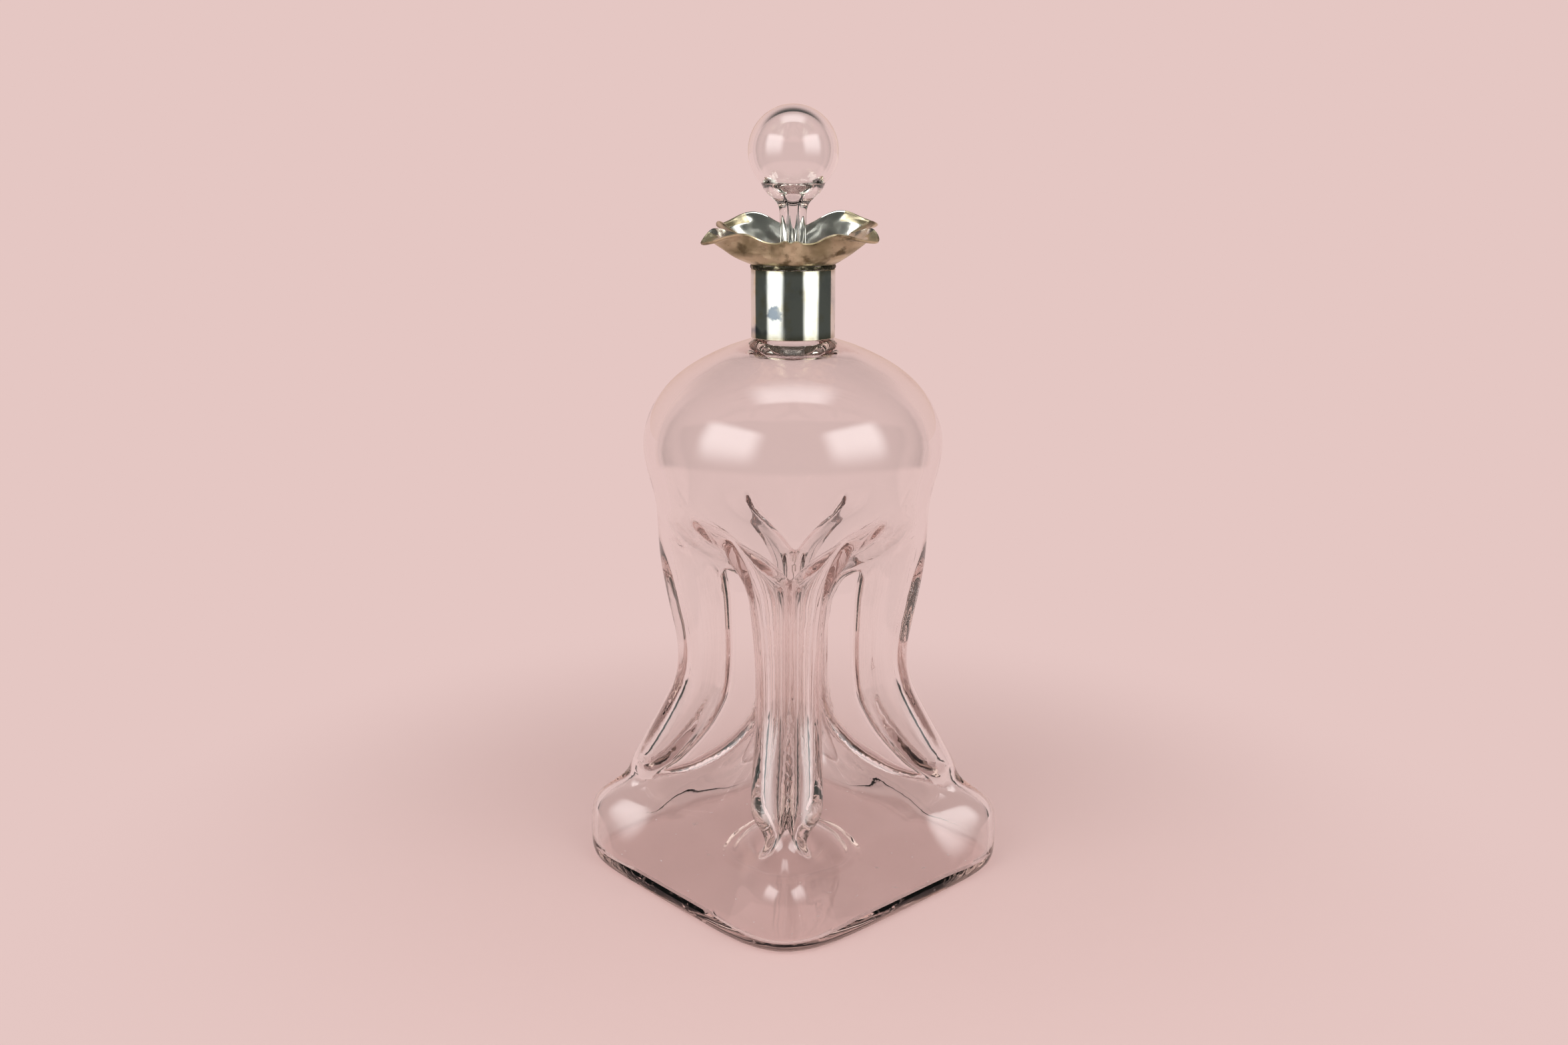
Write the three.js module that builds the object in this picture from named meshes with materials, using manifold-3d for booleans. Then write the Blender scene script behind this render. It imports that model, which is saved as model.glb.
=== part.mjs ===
// A blown glass decanter with a square foot. Its sides are pinched together below the shoulder, so four corner
// tubes and one central tube join the domed upper chamber to the low square one. A silver sleeve with a petal
// shaped lip is bedded round the neck, and a hollow ball stopper is ground into the neck. Millimetres, +Z up,
// origin in the middle of the foot. The corner tubes stand on the diagonals of the square.
import * as THREE from "three";
import { mergeVertices } from "three/addons/utils/BufferGeometryUtils.js";
import Module from "manifold-3d";

const wasm = await Module();
wasm.setup();

// Sizes of the bottle
const SHOULDER_HEIGHT = 200;
const FOOT_HALF_SIDE = 63.5;
const FOOT_CORNER_RADIUS = 28.5;
const PANEL_HALF_WIDTH = 50;
const DOME_RADIUS = 54;
const NECK_RADIUS = 12.9;
const NECK_LENGTH = 23;
const WALL = 4.8;
const FLOOR_THICKNESS = 6.5;
const FOOT_EDGE_RADIUS = 3.5;
const PONTIL_RADIUS = 25;
const PONTIL_DEPTH = 1.8;
const WEB_HALF_THICKNESS = 3.9;
const TUBE_HALF_WIDTH = 11.6;
const GROOVE_RADIUS = 12.6;
const NECK_LIP_RADIUS = 1.2;
const BORE_ROOT_FLARE = 1;

// Sizes of the stopper and its ground seat
const PLUG_TOP_RADIUS = 8.6;
const PLUG_END_RADIUS = 7.5;
const PLUG_LENGTH = 25;
const SEAT_CLEARANCE = 0.3;
const STEM_RADIUS = 4.7;
const STEM_BORE_RADIUS = 1.7;
const STEM_LENGTH = 22;
const BALL_RADIUS = 15.7;
const BALL_WALL = 2.9;
const BALL_RISE = 19.3;

// Sizes of the silver mount and its bedding
const BEDDING_THICKNESS = 0.9;
const BEDDING_GAP = 0.3;
const SLEEVE_SHEET = 0.6;
const SLEEVE_LENGTH = 24;
const SEAM_HEIGHT = 1.2;
const SEAM_BULGE = 0.35;
const LIP_SHEET = 0.8;
const LIP_HEIGHT = 9.8;
const PETAL_REACH = 36;
const PETAL_NOTCH_RADIUS = 19.8;
const PETAL_LIFT = 3.8;
const LIP_TILT = 0.1;
const JOINT_GAP = 0.3;
const CUT_OVERRUN = 2;

// Places worked out from the sizes above
const FOOT_REACH = FOOT_HALF_SIDE * Math.SQRT2 - FOOT_CORNER_RADIUS * (Math.SQRT2 - 1);
const NECK_TOP = SHOULDER_HEIGHT + NECK_LENGTH;
const SEAT_END = NECK_TOP - PLUG_LENGTH - SEAT_CLEARANCE;
const BORE_TOP_RADIUS = PLUG_TOP_RADIUS + SEAT_CLEARANCE;
const BORE_END_RADIUS = PLUG_END_RADIUS + SEAT_CLEARANCE;
const BORE_ROOT_RADIUS = BORE_TOP_RADIUS + BORE_ROOT_FLARE;
const SLEEVE_RADIUS = NECK_RADIUS + 2 * BEDDING_GAP + BEDDING_THICKNESS + SLEEVE_SHEET;
const SLEEVE_START = SHOULDER_HEIGHT;
const LIP_START = SLEEVE_START + SLEEVE_LENGTH + SEAM_HEIGHT + 2 * JOINT_GAP;

// Finer points of the sections
const BEND_SHARE = 0.45;
const LOBE_SHARE = 0.8;
const LEANING_WALL_SHARE = 1.25;
const PLAIN_TUBE_ANGLE = Math.PI * 0.12;
const PLAIN_WEB_ANGLE = Math.PI * 0.175;
const PLAIN_WEB_END_ANGLE = Math.PI * 0.19;
const MIDDLE_SHARE = 0.4;
const NECK_ROOT = 1.1;
const MERGE_DISTANCE = 1e-4;
const UPPER_START_SHARE = 0.588;
const LOWER_END_SHARE = 0.132;
const TUBE_START_SHARE = 0.115;
const TUBE_END_SHARE = 0.612;
const CENTRE_END_SHARE = 0.6;
const CORNER_OPENING_SHARE = 0.1;
const WEB_ROOT = 1.4;
const FLOOR_CORNER = 4;
const PONTIL_SLOPE = 4;
const PLUG_CHAMFER = 0.8;
const STEM_FLARE = 1.2;
const BALL_NECK_ANGLE = Math.PI * 0.35;
const PETAL_POWER = 1.8;
const NEAR_STEP = 0.05;

// Counts of faces
const ARMS = 4;
const LOBE_STEPS = 3;
const FLANK_STEPS = 2;
const WEB_STEPS = 1;
const GROOVE_STEPS = 2;
const EDGE_STEPS = 2;
const CURVE_STEPS = 240;
const UPPER_RINGS = 11;
const LOWER_RINGS = 5;
const INSIDE_STRIDE = 8;
const CENTRE_STEPS = 4;
const BALL_STEPS = 8;
const STEM_STEPS = 4;
const LIP_SIDES = 48;
const LIP_STEPS = 6;
const TUBE_RINGS = 13;
const TUBE_SIDES = 10;
const ROUND_SIDES = 32;

// The bottle's outline on the diagonal: reach as a share of FOOT_REACH, height as a share of SHOULDER_HEIGHT
const OUTLINE_SHARES = [
  [0.99, 0.018], [0.998, 0.045], [0.996, 0.08], [0.978, 0.103], [0.945, 0.12], [0.885, 0.147],
  [0.83, 0.175], [0.78, 0.21], [0.69, 0.274], [0.62, 0.318], [0.572, 0.365], [0.552, 0.42], [0.566, 0.475],
  [0.598, 0.535], [0.621, 0.59], [0.632, 0.645], [0.64, 0.7],
];
// The dome above it: radius as a share of DOME_RADIUS, height as a share of SHOULDER_HEIGHT
const DOME_SHARES = [
  [0.972, 0.75], [1, 0.8], [0.985, 0.84], [0.93, 0.878], [0.83, 0.912], [0.69, 0.945], [0.52, 0.971],
  [0.38, 0.986], [0.3, 0.991],
];
// Heights of the sections between the foot's edge and the neck, as shares of SHOULDER_HEIGHT
const RING_SHARES = [
  0.018, 0.045, 0.08, 0.103, 0.12, 0.133, 0.145, 0.157, 0.169, 0.185, 0.207, 0.235, 0.265, 0.3, 0.345, 0.4, 0.455,
  0.51, 0.545, 0.57, 0.593, 0.618, 0.645, 0.673, 0.7, 0.725, 0.76, 0.8, 0.84, 0.878, 0.912, 0.945, 0.971, 0.986,
  0.991,
];
// Each profile below lists heights as shares of SHOULDER_HEIGHT, and the size there as a share of its own size
// Middle of a corner tube, of FOOT_REACH
const TUBE_MIDDLE_SHARES = [
  [0, 0.795], [0.12, 0.795], [0.145, 0.772], [0.18, 0.695], [0.21, 0.62], [0.24, 0.56], [0.285, 0.487],
  [0.34, 0.42], [0.415, 0.397], [0.5, 0.413], [0.575, 0.446], [0.61, 0.48], [0.65, 0.53], [0.75, 0.56],
];
// Half width of a corner tube, of TUBE_HALF_WIDTH
const TUBE_WIDTH_SHARES = [
  [0, 1.47], [0.12, 1.34], [0.145, 1.19], [0.16, 1.11], [0.24, 1.09], [0.285, 1.04], [0.34, 1], [0.415, 1],
  [0.5, 1.06], [0.54, 1.11], [0.575, 1.18], [0.61, 1.29], [0.65, 1.5], [0.685, 1.8], [0.75, 2.4],
];
// Outer end of a web, of FOOT_REACH
const WEB_OUTER_SHARES = [
  [0, 0.718], [0.12, 0.718], [0.145, 0.7], [0.18, 0.595], [0.21, 0.51], [0.24, 0.435], [0.285, 0.355],
  [0.34, 0.303], [0.415, 0.293], [0.5, 0.293], [0.575, 0.31], [0.61, 0.39], [0.65, 0.47], [0.75, 0.5],
];
// Inner end of a web, of FOOT_REACH
const WEB_INNER_SHARES = [
  [0, 0.69], [0.12, 0.69], [0.145, 0.674], [0.16, 0.623], [0.18, 0.545], [0.21, 0.4], [0.24, 0.312], [0.285, 0.22],
  [0.34, 0.175], [0.415, 0.166], [0.5, 0.18], [0.54, 0.22], [0.575, 0.29], [0.61, 0.36], [0.65, 0.43], [0.75, 0.48],
];
// Half thickness of a web, of WEB_HALF_THICKNESS
const WEB_THICKNESS_SHARES = [
  [0, 3.08], [0.135, 3.08], [0.1425, 2.46], [0.15, 1.95], [0.165, 1.28], [0.18, 1.05], [0.415, 1], [0.52, 1],
  [0.555, 1.1], [0.575, 1.38], [0.61, 2.3], [0.65, 3.7], [0.685, 4.8], [0.75, 6.2],
];
// Floor of a groove between two tubes, of GROOVE_RADIUS
const GROOVE_SHARES = [
  [0, 3.95], [0.12, 3.95], [0.14, 3.6], [0.153, 3.16], [0.1675, 2.67], [0.18, 2.4], [0.21, 1.92], [0.24, 1.56],
  [0.285, 1.19], [0.34, 1.04], [0.415, 1], [0.5, 1.04], [0.54, 1.14], [0.57, 1.32], [0.595, 1.59], [0.62, 1.98],
  [0.65, 2.45], [0.685, 2.9], [0.75, 3.4],
];
// How far the foot's side leans in at its middle, of FOOT_HALF_SIDE
const PANEL_SHARES = [
  [0, 1], [0.015, 0.992], [0.04, 0.959], [0.07, 0.904], [0.1, 0.835], [0.12, 0.784], [0.14, 0.713], [0.16, 0.573],
  [0.18, 0.476],
];
// How far the sides are pinched in, from 0, not at all, to 1, down to the grooves
const PINCH_SHARES = [
  [0, 0], [0.12, 0], [0.13, 0.12], [0.14, 0.42], [0.15, 0.76], [0.16, 0.95], [0.17, 1], [0.6, 1], [0.64, 0.95],
  [0.67, 0.7], [0.7, 0.32], [0.725, 0.07], [0.74, 0], [1, 0],
];
// How the lip rises from its seam: place along the lip's reach, and share of the edge's height
const LIP_RISE_SHARES = [[0, 0], [0.23, 0.27], [0.48, 0.6], [0.7, 0.92], [0.9, 1.015], [1, 1]];

// A smooth curve through a table of places and shares: a monotone cubic, scaled by a size.
function smoothShares(shares, size) {
  const n = shares.length;
  const slope = [];
  for (let i = 0; i < n - 1; i += 1) {
    slope.push((shares[i + 1][1] - shares[i][1]) / (shares[i + 1][0] - shares[i][0]));
  }
  const tangent = shares.map((_, i) => {
    if (i === 0) return slope[0];
    if (i === n - 1) return slope[n - 2];
    if (slope[i - 1] * slope[i] <= 0) return 0;
    return (2 * slope[i - 1] * slope[i]) / (slope[i - 1] + slope[i]);
  });
  return (place) => {
    const at = Math.min(Math.max(place, shares[0][0]), shares[n - 1][0]);
    let i = 0;
    while (i < n - 2 && at > shares[i + 1][0]) i += 1;
    const span = shares[i + 1][0] - shares[i][0];
    const t = (at - shares[i][0]) / span;
    const t2 = t * t;
    const t3 = t2 * t;
    const rise = (2 * t3 - 3 * t2 + 1) * shares[i][1] + (3 * t2 - 2 * t3) * shares[i + 1][1];
    const lean = (t3 - 2 * t2 + t) * tangent[i] + (t3 - t2) * tangent[i + 1];
    return size * (rise + span * lean);
  };
}

// The same along the bottle's height.
function profile(shares, size) {
  const curve = smoothShares(shares, size);
  return (height) => curve(height / SHOULDER_HEIGHT);
}

const tubeMiddle = profile(TUBE_MIDDLE_SHARES, FOOT_REACH);
const tubeHalfWidth = profile(TUBE_WIDTH_SHARES, TUBE_HALF_WIDTH);
const webOuter = profile(WEB_OUTER_SHARES, FOOT_REACH);
const webInner = profile(WEB_INNER_SHARES, FOOT_REACH);
const webHalf = profile(WEB_THICKNESS_SHARES, WEB_HALF_THICKNESS);
const grooveFloor = profile(GROOVE_SHARES, GROOVE_RADIUS);
const panel = profile(PANEL_SHARES, FOOT_HALF_SIDE);
const pinch = profile(PINCH_SHARES, 1);
const lipRise = smoothShares(LIP_RISE_SHARES, 1);

// One eighth of a section, from the tip of a tube on the diagonal to the floor of a groove, as points along
// and across the diagonal. The pinched form has a round tube end, a flat web and a rounded groove.
function pinchedEighth(height, tip, inset) {
  const middle = tubeMiddle(height);
  const half = tubeHalfWidth(height) - inset;
  const outer = webOuter(height);
  const inner = webInner(height);
  const web = webHalf(height) - inset;
  const floor = (grooveFloor(height) - inset) * Math.SQRT1_2;
  const lobe = Math.max(middle, tip - half * LOBE_SHARE);
  const points = [];
  for (let i = 0; i <= LOBE_STEPS; i += 1) {
    const turn = (i / LOBE_STEPS) * (Math.PI / 2);
    points.push([lobe + (tip - lobe) * Math.cos(turn), half * Math.sin(turn)]);
  }
  for (let i = 1; i < FLANK_STEPS; i += 1) {
    const part = i / FLANK_STEPS;
    const ease = (1 - Math.cos(Math.PI * part)) / 2;
    points.push([middle + (outer - middle) * part, half + (web - half) * ease]);
  }
  for (let i = 0; i < WEB_STEPS; i += 1) {
    points.push([outer + ((inner - outer) * i) / WEB_STEPS, web]);
  }
  const reach = Math.hypot(inner - floor, floor - web);
  const bend = new THREE.CubicBezierCurve(
    new THREE.Vector2(inner, web),
    new THREE.Vector2(inner - reach * BEND_SHARE, web),
    new THREE.Vector2(floor + reach * BEND_SHARE * Math.SQRT1_2, floor - reach * BEND_SHARE * Math.SQRT1_2),
    new THREE.Vector2(floor, floor),
  );
  for (let i = 0; i <= GROOVE_STEPS; i += 1) {
    const point = bend.getPoint(i / GROOVE_STEPS);
    points.push([point.x, point.y]);
  }
  return points;
}

// The same eighth of the section before pinching: a circle in the dome, a soft square in the foot. Lean is how
// far the middle of the square's side is pressed in.
function plainEighth(tip, flat, lean) {
  const power = 1 / (1 / 2 - Math.log2(tip / flat));
  const marks = [
    [0, 0],
    [LOBE_STEPS, PLAIN_TUBE_ANGLE],
    [LOBE_STEPS + FLANK_STEPS, PLAIN_WEB_ANGLE],
    [LOBE_STEPS + FLANK_STEPS + WEB_STEPS, PLAIN_WEB_END_ANGLE],
    [LOBE_STEPS + FLANK_STEPS + WEB_STEPS + GROOVE_STEPS, Math.PI / 4],
  ];
  const points = [];
  for (let m = 0; m < marks.length - 1; m += 1) {
    const [from, low] = marks[m];
    const [to, high] = marks[m + 1];
    const last = m === marks.length - 2 ? to : to - 1;
    for (let i = from; i <= last; i += 1) {
      const angle = low + ((high - low) * (i - from)) / (to - from);
      const side = Math.PI / 4 - angle;
      const spread = Math.cos(side) ** power + Math.sin(side) ** power;
      const radius = flat / spread ** (1 / power);
      const across = Math.min((radius * Math.sin(side)) / PANEL_HALF_WIDTH, 1);
      const press = lean * Math.cos((across * Math.PI) / 2) ** 2 * Math.SQRT1_2;
      points.push([radius * Math.cos(angle) - press, radius * Math.sin(angle) - press]);
    }
  }
  return points;
}

// Repeats an eighth round the four diagonals, as a ring of points counter-clockwise round the axis.
function ringOf(eighth, height) {
  const arm = [...eighth.slice(1, -1).reverse().map(([u, v]) => [u, -v]), ...eighth];
  const ring = [];
  for (let k = 0; k < ARMS; k += 1) {
    const turn = Math.PI / 4 + (k * 2 * Math.PI) / ARMS;
    for (const [u, v] of arm) {
      ring.push([
        u * Math.cos(turn) - v * Math.sin(turn),
        u * Math.sin(turn) + v * Math.cos(turn),
        height,
      ]);
    }
  }
  return ring;
}

function plainRing(radius, height) {
  return ringOf(plainEighth(radius, radius, 0), height);
}

// A whole section at one height; inset is the wall, for a section of the hollow inside.
function section(height, tip, inset) {
  const low = height < MIDDLE_SHARE * SHOULDER_HEIGHT;
  const flat = low ? (tip * FOOT_HALF_SIDE) / FOOT_REACH : tip;
  const lean = low ? Math.max(flat - panel(height) + inset * LEANING_WALL_SHARE, 0) : 0;
  const plain = plainEighth(tip, flat, lean);
  const share = pinch(height);
  if (share === 0) return ringOf(plain, height);
  const pinched = pinchedEighth(height, tip, inset);
  const mixed = plain.map(([u, v], i) => [
    u + (pinched[i][0] - u) * share,
    v + (pinched[i][1] - v) * share,
  ]);
  return ringOf(mixed, height);
}

// Skins a list of rings with equal counts of points, and closes both ends flat.
function loft(rings) {
  const count = rings[0].length;
  const positions = rings.flat(2);
  const index = [];
  for (let r = 0; r < rings.length - 1; r += 1) {
    for (let i = 0; i < count; i += 1) {
      const next = (i + 1) % count;
      const a = r * count + i;
      const b = r * count + next;
      const c = a + count;
      const d = b + count;
      index.push(a, b, d, a, d, c);
    }
  }
  const cap = (ring) => {
    const outline = rings[ring].map(([x, y]) => new THREE.Vector2(x, y));
    return THREE.ShapeUtils.triangulateShape(outline, []);
  };
  for (const [a, b, c] of cap(0)) index.push(c, b, a);
  const top = (rings.length - 1) * count;
  for (const [a, b, c] of cap(rings.length - 1)) index.push(top + a, top + b, top + c);
  const geometry = new THREE.BufferGeometry();
  geometry.setAttribute("position", new THREE.Float32BufferAttribute(positions, 3));
  geometry.setIndex(index);
  return geometry;
}

function toSolid(geometry) {
  const bare = geometry.clone();
  bare.deleteAttribute("normal");
  bare.deleteAttribute("uv");
  const merged = mergeVertices(bare, MERGE_DISTANCE);
  const mesh = new wasm.Mesh({
    numProp: 3,
    vertProperties: new Float32Array(merged.attributes.position.array),
    triVerts: new Uint32Array(merged.index.array),
  });
  return new wasm.Manifold(mesh);
}

function toGeometry(solid) {
  const mesh = solid.getMesh();
  const geometry = new THREE.BufferGeometry();
  geometry.setAttribute("position", new THREE.Float32BufferAttribute(mesh.vertProperties, 3));
  geometry.setIndex(Array.from(mesh.triVerts));
  geometry.computeVertexNormals();
  return geometry;
}

// A turned piece: a profile of radius and height, running up outside and down inside.
function turned(points, sides) {
  const outline = points.map(([radius, height]) => new THREE.Vector2(radius, height));
  return new THREE.LatheGeometry(outline, sides).rotateX(Math.PI / 2);
}

function smoothCurve(points) {
  const through = points.map(([radius, height]) => new THREE.Vector3(radius, 0, height));
  return new THREE.CatmullRomCurve3(through, false, "centripetal");
}

// The bottle's outline from the top of the foot's edge to the root of the neck
const outlineCurve = smoothCurve([
  [FOOT_REACH * OUTLINE_SHARES[0][0], FOOT_EDGE_RADIUS],
  ...OUTLINE_SHARES.slice(1).map(([reach, height]) => [reach * FOOT_REACH, height * SHOULDER_HEIGHT]),
  ...DOME_SHARES.map(([radius, height]) => [radius * DOME_RADIUS, height * SHOULDER_HEIGHT]),
]);

// Where an outline, as points of reach and rising height, is at a height.
function reachAt(points, height) {
  const above = points.findIndex((point) => point[1] > height);
  const next = above < 0 ? points.length - 1 : Math.max(above, 1);
  const [r1, h1] = points[next - 1];
  const [r2, h2] = points[next];
  return r1 + ((r2 - r1) * (height - h1)) / (h2 - h1);
}

const outside = outlineCurve.getPoints(CURVE_STEPS).map((point) => [point.x, point.z]);

function outerRings() {
  const rings = [
    plainRing(PONTIL_RADIUS - PONTIL_SLOPE, PONTIL_DEPTH),
    plainRing(PONTIL_RADIUS, 0),
  ];
  const foot = FOOT_REACH * OUTLINE_SHARES[0][0];
  for (let i = 0; i < EDGE_STEPS; i += 1) {
    const turn = (i / EDGE_STEPS) * (Math.PI / 2);
    const height = FOOT_EDGE_RADIUS * (1 - Math.cos(turn));
    rings.push(section(height, foot - FOOT_EDGE_RADIUS * (1 - Math.sin(turn)), 0));
  }
  for (const share of RING_SHARES) {
    const height = share * SHOULDER_HEIGHT;
    rings.push(section(height, reachAt(outside, height), 0));
  }
  rings.push(plainRing(NECK_RADIUS + NECK_ROOT, SHOULDER_HEIGHT - NECK_ROOT));
  rings.push(plainRing(NECK_RADIUS, SHOULDER_HEIGHT));
  rings.push(plainRing(NECK_RADIUS, NECK_TOP - NECK_LIP_RADIUS));
  rings.push(plainRing(NECK_RADIUS - NECK_LIP_RADIUS, NECK_TOP));
  return rings;
}

// The inside face beside the outline: the outline moved inwards by the wall, rising all the way.
function insideOutline() {
  const points = [];
  for (let i = 0; i <= CURVE_STEPS; i += 1) {
    const along = i / CURVE_STEPS;
    const point = outlineCurve.getPointAt(along);
    const tangent = outlineCurve.getTangentAt(along);
    const radius = point.x - WALL * tangent.z;
    const height = point.z + WALL * tangent.x;
    const last = points[points.length - 1];
    if (radius > BORE_ROOT_RADIUS && (!last || height > last[1])) points.push([radius, height]);
  }
  return points;
}

const inside = insideOutline();

function insideReach(height) {
  return reachAt(inside, height);
}

// The domed chamber with the neck's bore, which is open at the top.
function upperHollow() {
  const start = UPPER_START_SHARE * SHOULDER_HEIGHT;
  const wall = smoothCurve([
    [insideReach(start), start],
    ...inside.filter(([, height], i) => height > start + WALL / 2 && i % INSIDE_STRIDE === 0),
  ]);
  const rings = wall.getSpacedPoints(UPPER_RINGS).map((point) => section(point.z, point.x, WALL));
  rings.push(plainRing(BORE_END_RADIUS, SEAT_END));
  rings.push(plainRing(BORE_TOP_RADIUS, NECK_TOP));
  rings.push(plainRing(BORE_TOP_RADIUS, NECK_TOP + CUT_OVERRUN));
  return toSolid(loft(rings));
}

// The low square chamber in the foot.
function lowerHollow() {
  const end = LOWER_END_SHARE * SHOULDER_HEIGHT;
  const start = FLOOR_THICKNESS + FLOOR_CORNER;
  const rings = [section(FLOOR_THICKNESS, insideReach(start) - FLOOR_CORNER, WALL)];
  for (let i = 0; i <= LOWER_RINGS; i += 1) {
    const height = start + ((end - start) * i) / LOWER_RINGS;
    rings.push(section(height, insideReach(height), WALL));
  }
  return toSolid(loft(rings));
}

// One corner tube's hollow, from the foot's chamber up into the dome.
function tubeHollow(arm) {
  const turn = Math.PI / 4 + (arm * 2 * Math.PI) / ARMS;
  const rings = [];
  for (let i = 0; i <= TUBE_RINGS; i += 1) {
    const share = TUBE_START_SHARE + ((TUBE_END_SHARE - TUBE_START_SHARE) * i) / TUBE_RINGS;
    const height = share * SHOULDER_HEIGHT;
    const near = webOuter(height) + WEB_ROOT;
    const far = insideReach(height);
    const half = tubeHalfWidth(height) - WALL;
    const ring = [];
    for (let k = 0; k < TUBE_SIDES; k += 1) {
      const angle = ((k + 0.5) / TUBE_SIDES) * 2 * Math.PI;
      const u = (near + far) / 2 + ((far - near) / 2) * Math.cos(angle);
      const v = half * Math.sin(angle);
      ring.push([
        u * Math.cos(turn) - v * Math.sin(turn),
        u * Math.sin(turn) + v * Math.cos(turn),
        height,
      ]);
    }
    rings.push(ring);
  }
  return toSolid(loft(rings));
}

// The central tube's hollow: square with its corners run out towards the webs.
function centreHollow() {
  const rings = [];
  for (let i = 0; i <= TUBE_RINGS; i += 1) {
    const share = TUBE_START_SHARE + ((CENTRE_END_SHARE - TUBE_START_SHARE) * i) / TUBE_RINGS;
    const height = share * SHOULDER_HEIGHT;
    const corner = webInner(height) - WEB_ROOT;
    const floor = (grooveFloor(height) - WALL) * Math.SQRT1_2;
    const reach = Math.hypot(corner - floor, floor);
    const bend = new THREE.CubicBezierCurve(
      new THREE.Vector2(corner, 0),
      new THREE.Vector2(corner - reach * BEND_SHARE, reach * CORNER_OPENING_SHARE),
      new THREE.Vector2(floor + reach * BEND_SHARE * Math.SQRT1_2, floor - reach * BEND_SHARE * Math.SQRT1_2),
      new THREE.Vector2(floor, floor),
    );
    rings.push(ringOf(bend.getPoints(CENTRE_STEPS).map((point) => [point.x, point.y]), height));
  }
  return toSolid(loft(rings));
}

function glassBody() {
  let hollow = upperHollow().add(lowerHollow()).add(centreHollow());
  for (let arm = 0; arm < ARMS; arm += 1) hollow = hollow.add(tubeHollow(arm));
  return toGeometry(toSolid(loft(outerRings())).subtract(hollow));
}

function arc(middleRadius, middleHeight, radius, from, to, steps) {
  const points = [];
  for (let i = 0; i <= steps; i += 1) {
    const angle = from + ((to - from) * i) / steps;
    points.push([middleRadius + radius * Math.cos(angle), middleHeight + radius * Math.sin(angle)]);
  }
  return points;
}

// The blown stopper: a hollow ball on a stem with a fine bore, over a tapered ground plug.
function stopper() {
  const plugEnd = NECK_TOP - PLUG_LENGTH;
  const ball = NECK_TOP + STEM_LENGTH + BALL_RISE;
  const shoulder = PLUG_TOP_RADIUS - STEM_RADIUS;
  const hollow = BALL_RADIUS - BALL_WALL;
  const profilePoints = [
    ...arc(0, ball, hollow, Math.PI / 2, -BALL_NECK_ANGLE, BALL_STEPS),
    [STEM_BORE_RADIUS * 2, ball - hollow - BALL_WALL / 2],
    [STEM_BORE_RADIUS, ball - BALL_RADIUS - BALL_WALL / 2],
    [STEM_BORE_RADIUS, plugEnd],
    [PLUG_END_RADIUS - PLUG_CHAMFER, plugEnd],
    [PLUG_END_RADIUS, plugEnd + PLUG_CHAMFER],
    [PLUG_TOP_RADIUS, NECK_TOP],
    ...arc(STEM_RADIUS + shoulder, NECK_TOP + shoulder, shoulder, -Math.PI / 2, -Math.PI, STEM_STEPS).slice(1),
    [STEM_RADIUS, NECK_TOP + STEM_LENGTH],
    [STEM_RADIUS + STEM_FLARE, NECK_TOP + STEM_LENGTH + STEM_FLARE * 2],
    ...arc(0, ball, BALL_RADIUS, -BALL_NECK_ANGLE, Math.PI / 2, BALL_STEPS),
  ];
  return turned(profilePoints, ROUND_SIDES);
}

function ringPiece(points) {
  return turned([...points, points[0]], ROUND_SIDES);
}

function neckSleeve() {
  return ringPiece([
    [SLEEVE_RADIUS, SLEEVE_START],
    [SLEEVE_RADIUS, SLEEVE_START + SLEEVE_LENGTH],
    [SLEEVE_RADIUS - SLEEVE_SHEET, SLEEVE_START + SLEEVE_LENGTH],
    [SLEEVE_RADIUS - SLEEVE_SHEET, SLEEVE_START],
  ]);
}

function mountBedding() {
  const outer = SLEEVE_RADIUS - SLEEVE_SHEET - BEDDING_GAP;
  const inner = NECK_RADIUS + BEDDING_GAP;
  return ringPiece([
    [outer, SLEEVE_START + SLEEVE_SHEET * 2],
    [outer, NECK_TOP - NECK_LIP_RADIUS],
    [inner, NECK_TOP - NECK_LIP_RADIUS],
    [inner, SLEEVE_START + SLEEVE_SHEET * 2],
  ]);
}

function solderSeam() {
  const low = SLEEVE_START + SLEEVE_LENGTH + JOINT_GAP;
  return ringPiece([
    [SLEEVE_RADIUS, low],
    [SLEEVE_RADIUS + SEAM_BULGE, low + SEAM_HEIGHT / 2],
    [SLEEVE_RADIUS, low + SEAM_HEIGHT],
    [SLEEVE_RADIUS - SLEEVE_SHEET, low + SEAM_HEIGHT],
    [SLEEVE_RADIUS - SLEEVE_SHEET, low],
  ]);
}

// A point of the lip's sheet, from its root on the seam, along 0, to its edge, along 1. Four broad petals stand
// over the grooves, with notches between them.
function petalPoint(turn, along) {
  const petal = Math.abs(Math.cos(2 * turn)) ** PETAL_POWER;
  const edge = PETAL_NOTCH_RADIUS + (PETAL_REACH - PETAL_NOTCH_RADIUS) * petal;
  const root = SLEEVE_RADIUS - LIP_SHEET / 2;
  const radius = root + (edge - root) * along;
  const rise = (LIP_HEIGHT + PETAL_LIFT * petal) * lipRise(along);
  const tilt = LIP_TILT * radius * Math.sin(turn - Math.PI / 4) * along;
  return [radius, LIP_START + rise + tilt];
}

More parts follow.
